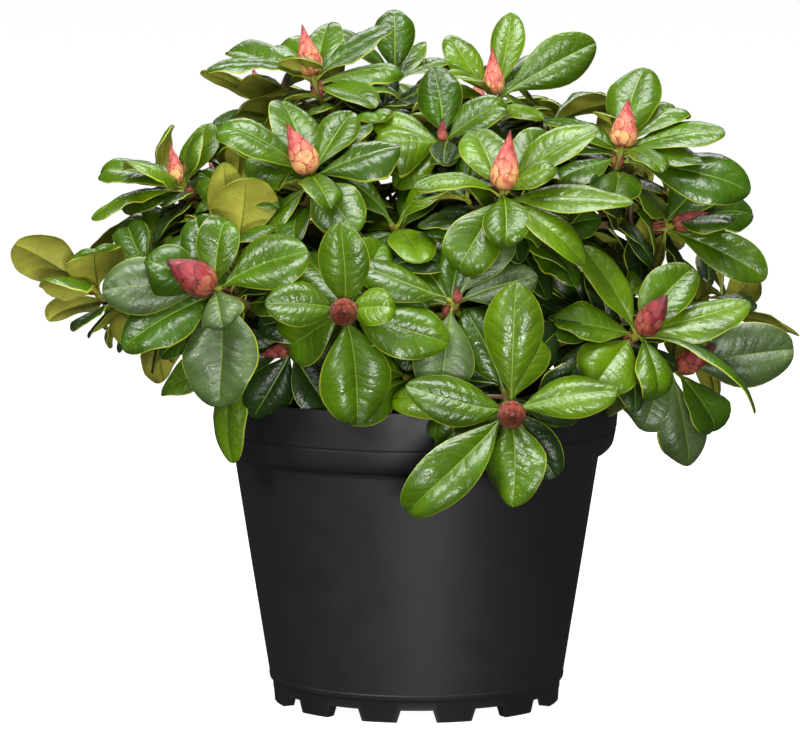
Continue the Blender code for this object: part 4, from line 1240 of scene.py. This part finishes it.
# %% The pot's profile, spun and cut
POT_HEIGHT, RIM_RADIUS, BASE_RADIUS, NECK_RADIUS = 179 * MM, 115.5 * MM, 84 * MM, 104 * MM
GROOVE_HEIGHT, NECK_HEIGHT, STEP_HEIGHT, FLOOR_HEIGHT = 157 * MM, 142.5 * MM, 13 * MM, 12.5 * MM
WALL = 2 * MM
FEET = 12
POT_FACETS = 144
POT_PROFILE = (
    (0, FLOOR_HEIGHT - WALL), (BASE_RADIUS - 10.4 * MM, FLOOR_HEIGHT - WALL), (BASE_RADIUS - 9.4 * MM, 0.3 * MM),
    (BASE_RADIUS - 9.1 * MM, 0), (BASE_RADIUS - 2.7 * MM, 0), (BASE_RADIUS - 2.4 * MM, 0.4 * MM),
    (BASE_RADIUS - 1.7 * MM, STEP_HEIGHT - 0.9 * MM), (BASE_RADIUS - 1.3 * MM, STEP_HEIGHT - 0.4 * MM),
    (BASE_RADIUS - 0.3 * MM, STEP_HEIGHT - 0.2 * MM), (BASE_RADIUS, STEP_HEIGHT + 0.3 * MM),
    (BASE_RADIUS + 0.35 * MM, STEP_HEIGHT + 2.4 * MM), (BASE_RADIUS + 0.05 * MM, STEP_HEIGHT + 2.9 * MM),
    (BASE_RADIUS + 0.15 * MM, STEP_HEIGHT + 3.5 * MM),
    (BASE_RADIUS + 10 * MM, STEP_HEIGHT + 65 * MM), (NECK_RADIUS - 0.35 * MM, NECK_HEIGHT - 3 * MM),
    (NECK_RADIUS, NECK_HEIGHT - 0.8 * MM), (NECK_RADIUS + 0.7 * MM, NECK_HEIGHT + 0.2 * MM),
    (RIM_RADIUS - 7.4 * MM, NECK_HEIGHT + 1.2 * MM), (RIM_RADIUS - 5.4 * MM, NECK_HEIGHT + 3 * MM),
    (RIM_RADIUS - 3.8 * MM, NECK_HEIGHT + 5.2 * MM), (RIM_RADIUS - 2.9 * MM, NECK_HEIGHT + 8 * MM),
    (RIM_RADIUS - 1.9 * MM, GROOVE_HEIGHT - 1.4 * MM), (RIM_RADIUS - 1.9 * MM, GROOVE_HEIGHT - 0.8 * MM),
    (RIM_RADIUS - 2.4 * MM, GROOVE_HEIGHT - 0.2 * MM), (RIM_RADIUS - 2.3 * MM, GROOVE_HEIGHT + 0.3 * MM),
    (RIM_RADIUS - 1.5 * MM, GROOVE_HEIGHT + 0.8 * MM), (RIM_RADIUS - 0.9 * MM, GROOVE_HEIGHT + 8 * MM),
    (RIM_RADIUS - 0.1 * MM, POT_HEIGHT - 1.6 * MM), (RIM_RADIUS - 0.2 * MM, POT_HEIGHT - 0.5 * MM),
    (RIM_RADIUS - 0.8 * MM, POT_HEIGHT), (RIM_RADIUS - 1.6 * MM, POT_HEIGHT),
    (RIM_RADIUS - 2.5 * MM, POT_HEIGHT - 0.8 * MM), (RIM_RADIUS - 3.0 * MM, POT_HEIGHT - 6 * MM),
    (RIM_RADIUS - 4.5 * MM, NECK_HEIGHT + 6 * MM), (NECK_RADIUS - WALL, NECK_HEIGHT),
    (BASE_RADIUS - WALL, FLOOR_HEIGHT), (0, FLOOR_HEIGHT),
)


def spun(profile, facets):
    bm = bmesh.new()
    line = [bm.verts.new((radius, 0, height)) for radius, height in profile]
    edges = [bm.edges.new(pair) for pair in zip(line, line[1:])]
    bmesh.ops.spin(bm, geom=line + edges, cent=(0, 0, 0), axis=(0, 0, 1), dvec=(0, 0, 0),
                   angle=math.tau, steps=facets, use_merge=True, use_duplicate=False)
    bmesh.ops.remove_doubles(bm, verts=bm.verts, dist=0.00002)
    bm.normal_update()
    bmesh.ops.recalc_face_normals(bm, faces=bm.faces)
    return bm


def notch_wedges():
    bm = bmesh.new()
    for index in range(FEET):
        made = bmesh.ops.create_cube(bm, size=1)["verts"]
        for vert in made:
            high = vert.co.z > 0
            vert.co.x = BASE_RADIUS - 6 * MM + vert.co.x * 24 * MM
            vert.co.y *= (18 if high else 23) * MM
            vert.co.z = (7 if high else -1) * MM
        turn = Matrix.Rotation(math.tau * index / FEET - math.pi / 2, 4, "Z")
        bmesh.ops.transform(bm, matrix=turn, verts=made)
    return bm


def apply_modifiers(obj):
    evaluated = obj.evaluated_get(bpy.context.evaluated_depsgraph_get())
    made = bpy.data.meshes.new_from_object(evaluated)
    obj.modifiers.clear()
    obj.data = made


def plastic_finish():
    black = (0.011, 0.011, 0.0115)
    made = finish("black_plastic", black, 0.5, Specular_IOR_Level=0.45)
    recipe = Recipe(made)
    where = recipe.object_place()
    cloud = recipe.mapped(recipe.noise(where, 14.0, 4.0), 0.3, 0.7, 0.86, 1.2)
    recipe.feed(recipe.shader.inputs["Base Color"], recipe.tinted(cloud, black))
    grain = recipe.noise(where, 1900.0, 2.0)
    recipe.relief(grain, 0.06 * MM, 0.5)
    recipe.feed(recipe.shader.inputs["Roughness"], recipe.mapped(recipe.noise(where, 60.0, 3.0), 0.3, 0.7, 0.47, 0.58))
    return made


plastic = plastic_finish()
pot = object_from(spun(POT_PROFILE, POT_FACETS), "nursery_pot", plastic)
wedges = object_from(notch_wedges(), "notch_wedges", plastic)
cut = pot.modifiers.new("Feet", "BOOLEAN")
cut.object = wedges
apply_modifiers(pot)
bpy.data.objects.remove(wedges)
pot.data.shade_smooth()
pot.data.set_sharp_from_angle(angle=math.radians(38))
on_the_plant(pot, "pot", "pot")
print(len(pot.data.polygons), "faces in the pot")

# %% [markdown]
# ## Compost
#
# Peat and bark compost is a loose crumb. A disc of rings is lifted and dropped by noise for the uneven
# surface, and a few hundred small crumbs and bark chips lie on it, half sunk.

# %% Compost and its crumbs
COMPOST_TOP, COMPOST_EDGE = 173 * MM, 168 * MM
CRUMBS = 620


def compost_height(x, y):
    away = math.hypot(x, y)
    level = COMPOST_TOP - 5 * MM * smooth_step(np.float64(away), 30 * MM, 112 * MM)
    return level + 1.3 * MM * noise.fractal(Vector((x * 45, y * 45, 0)), 1.0, 2.0, 4)


def compost_finish():
    made = finish("compost", (0.045, 0.024, 0.016), 0.95, Specular_IOR_Level=0.2)
    recipe = Recipe(made)
    where = recipe.object_place()
    crumb = recipe.noise(where, 330.0, 6.0)
    colour = recipe.blend(recipe.mapped(crumb, 0.35, 0.7), (0.014, 0.008, 0.005, 1), (0.085, 0.046, 0.028, 1))
    fibres = recipe.mapped(recipe.noise(where, 900.0, 2.0), 0.66, 0.74, 0.0, 0.6)
    recipe.feed(recipe.shader.inputs["Base Color"], recipe.blend(fibres, colour, (0.16, 0.09, 0.05, 1)))
    recipe.relief(crumb, 1.2 * MM, 1.0)
    return made


def compost_mesh():
    rings = [(radius * MM, COMPOST_TOP) for radius in np.linspace(0, 111, 48)]
    below = ((110 * MM, 158 * MM), (101.3 * MM, 143 * MM), (81.3 * MM, FLOOR_HEIGHT + CLEARANCE), (0, FLOOR_HEIGHT + CLEARANCE))
    bm = spun((*rings, *below), 96)
    for vert in bm.verts:
        if vert.co.z > 160 * MM:
            vert.co.z = compost_height(vert.co.x, vert.co.y)
    return bm


def crumbs_mesh(rng):
    bm = bmesh.new()
    for _ in range(CRUMBS):
        angle, away = rng.uniform(0, math.tau), 108 * MM * math.sqrt(rng.uniform(0.02, 1))
        x, y = away * math.cos(angle), away * math.sin(angle)
        size = rng.uniform(0.7, 2.3) * MM
        turn = Matrix.Rotation(rng.uniform(0, 6.3), 4, "Z") @ Matrix.Rotation(rng.uniform(-0.6, 0.6), 4, "X")
        stretch = Vector((rng.uniform(0.8, 2.2), 1, rng.uniform(0.45, 0.8))) * size
        place = Matrix.Translation((x, y, compost_height(x, y) + size * 0.2)) @ turn @ Matrix.Diagonal((*stretch, 1))
        made = bmesh.ops.create_icosphere(bm, subdivisions=1, radius=1, matrix=place)["verts"]
        for vert in made:
            vert.co += Vector((rng.uniform(-1, 1), rng.uniform(-1, 1), rng.uniform(-1, 1))) * size * 0.22
    return bm


peat = compost_finish()
on_the_plant(object_from(compost_mesh(), "compost_bed", peat), "compost", "compost")
on_the_plant(object_from(crumbs_mesh(random.Random(SEED + 5)), "compost_crumbs", peat), "compost")
print(CRUMBS, "crumbs")

# %% [markdown]
# ## Floor, light and camera
#
# The photograph is a product shot on white. A pale floor fills the whole picture, a broad soft light
# hangs overhead, a second stands in front, and the room adds a little from all round. The camera looks
# slightly down from three metres away through a long lens, which keeps the pot's sides nearly straight.

# %% Floor and lights
def floor_sheet():
    bm = bmesh.new()
    bmesh.ops.create_grid(bm, x_segments=2, y_segments=2, size=30)
    paper = finish("white_paper", (0.3, 0.3, 0.3), 0.9, Specular_IOR_Level=0.0)
    shader = paper.node_tree.nodes["Principled BSDF"]
    shader.inputs["Emission Color"].default_value = (1, 1, 1, 1)
    shader.inputs["Emission Strength"].default_value = 0.97
    floor = object_from(bm, "floor", paper)
    floor.visible_diffuse = False
    floor.visible_glossy = False
    floor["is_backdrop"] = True
    return floor


def soft_light(name, place, aim, width, height, power):
    light = bpy.data.lights.new(name, "AREA")
    light.shape = "RECTANGLE"
    light.size, light.size_y = width, height
    light.energy = power
    lamp = bpy.data.objects.new(name, light)
    bpy.context.scene.collection.objects.link(lamp)
    lamp.location = place
    lamp.visible_camera = False
    lamp.rotation_euler = (Vector(aim) - Vector(place)).to_track_quat("-Z", "Y").to_euler()
    return lamp


floor_sheet()
world = bpy.data.worlds.new("room")
world.use_nodes = True
world.node_tree.nodes["Background"].inputs["Color"].default_value = (1, 1, 1, 1)
world.node_tree.nodes["Background"].inputs["Strength"].default_value = 0.07
bpy.context.scene.world = world
soft_light("overhead", (0.1, -0.6, 1.75), (0, 0, 0.25), 1.2, 0.8, 46)
soft_light("back", (0.0, 1.3, 1.5), (0, 0, 0.3), 1.4, 0.5, 16)
soft_light("key", (-1.5, -1.7, 1.7), (0, 0, 0.2), 0.8, 0.8, 44)
fill = soft_light("front", (0.5, -2.6, 0.9), (0, 0, 0.2), 1.2, 1.0, 22)
fill.visible_glossy = False
soft_light("strip", (0.2, -2.6, 0.08), (0, 0, 0.08), 0.8, 0.15, 42)

# %% Camera
LENS = 5309 * 36 / 800
camera = bpy.data.cameras.new("camera")
camera.lens, camera.sensor_width = LENS, 36
camera.clip_end = 100
eye = bpy.data.objects.new("camera", camera)
bpy.context.scene.collection.objects.link(eye)
eye.location = (-0.0094, -3.0, 0.557)
eye.rotation_euler = (math.radians(90 - 6.95), 0, 0)
bpy.context.scene.camera = eye
bpy.context.scene.view_settings.view_transform = "Standard"
print("lens", round(LENS, 1), "mm")

# %% [markdown]
#
# The box round the dressed plant is printed, in millimetres. The dressed plant has to stay inside
# the solid model's box, apart from what soft foliage may stand proud.

# %% Print the dressed plant's box
visual_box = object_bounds()
for axis, low, high in zip("XYZ", *visual_box):
    print(axis, "from", round(low / MM, 1), "to", round(high / MM, 1), "mm")
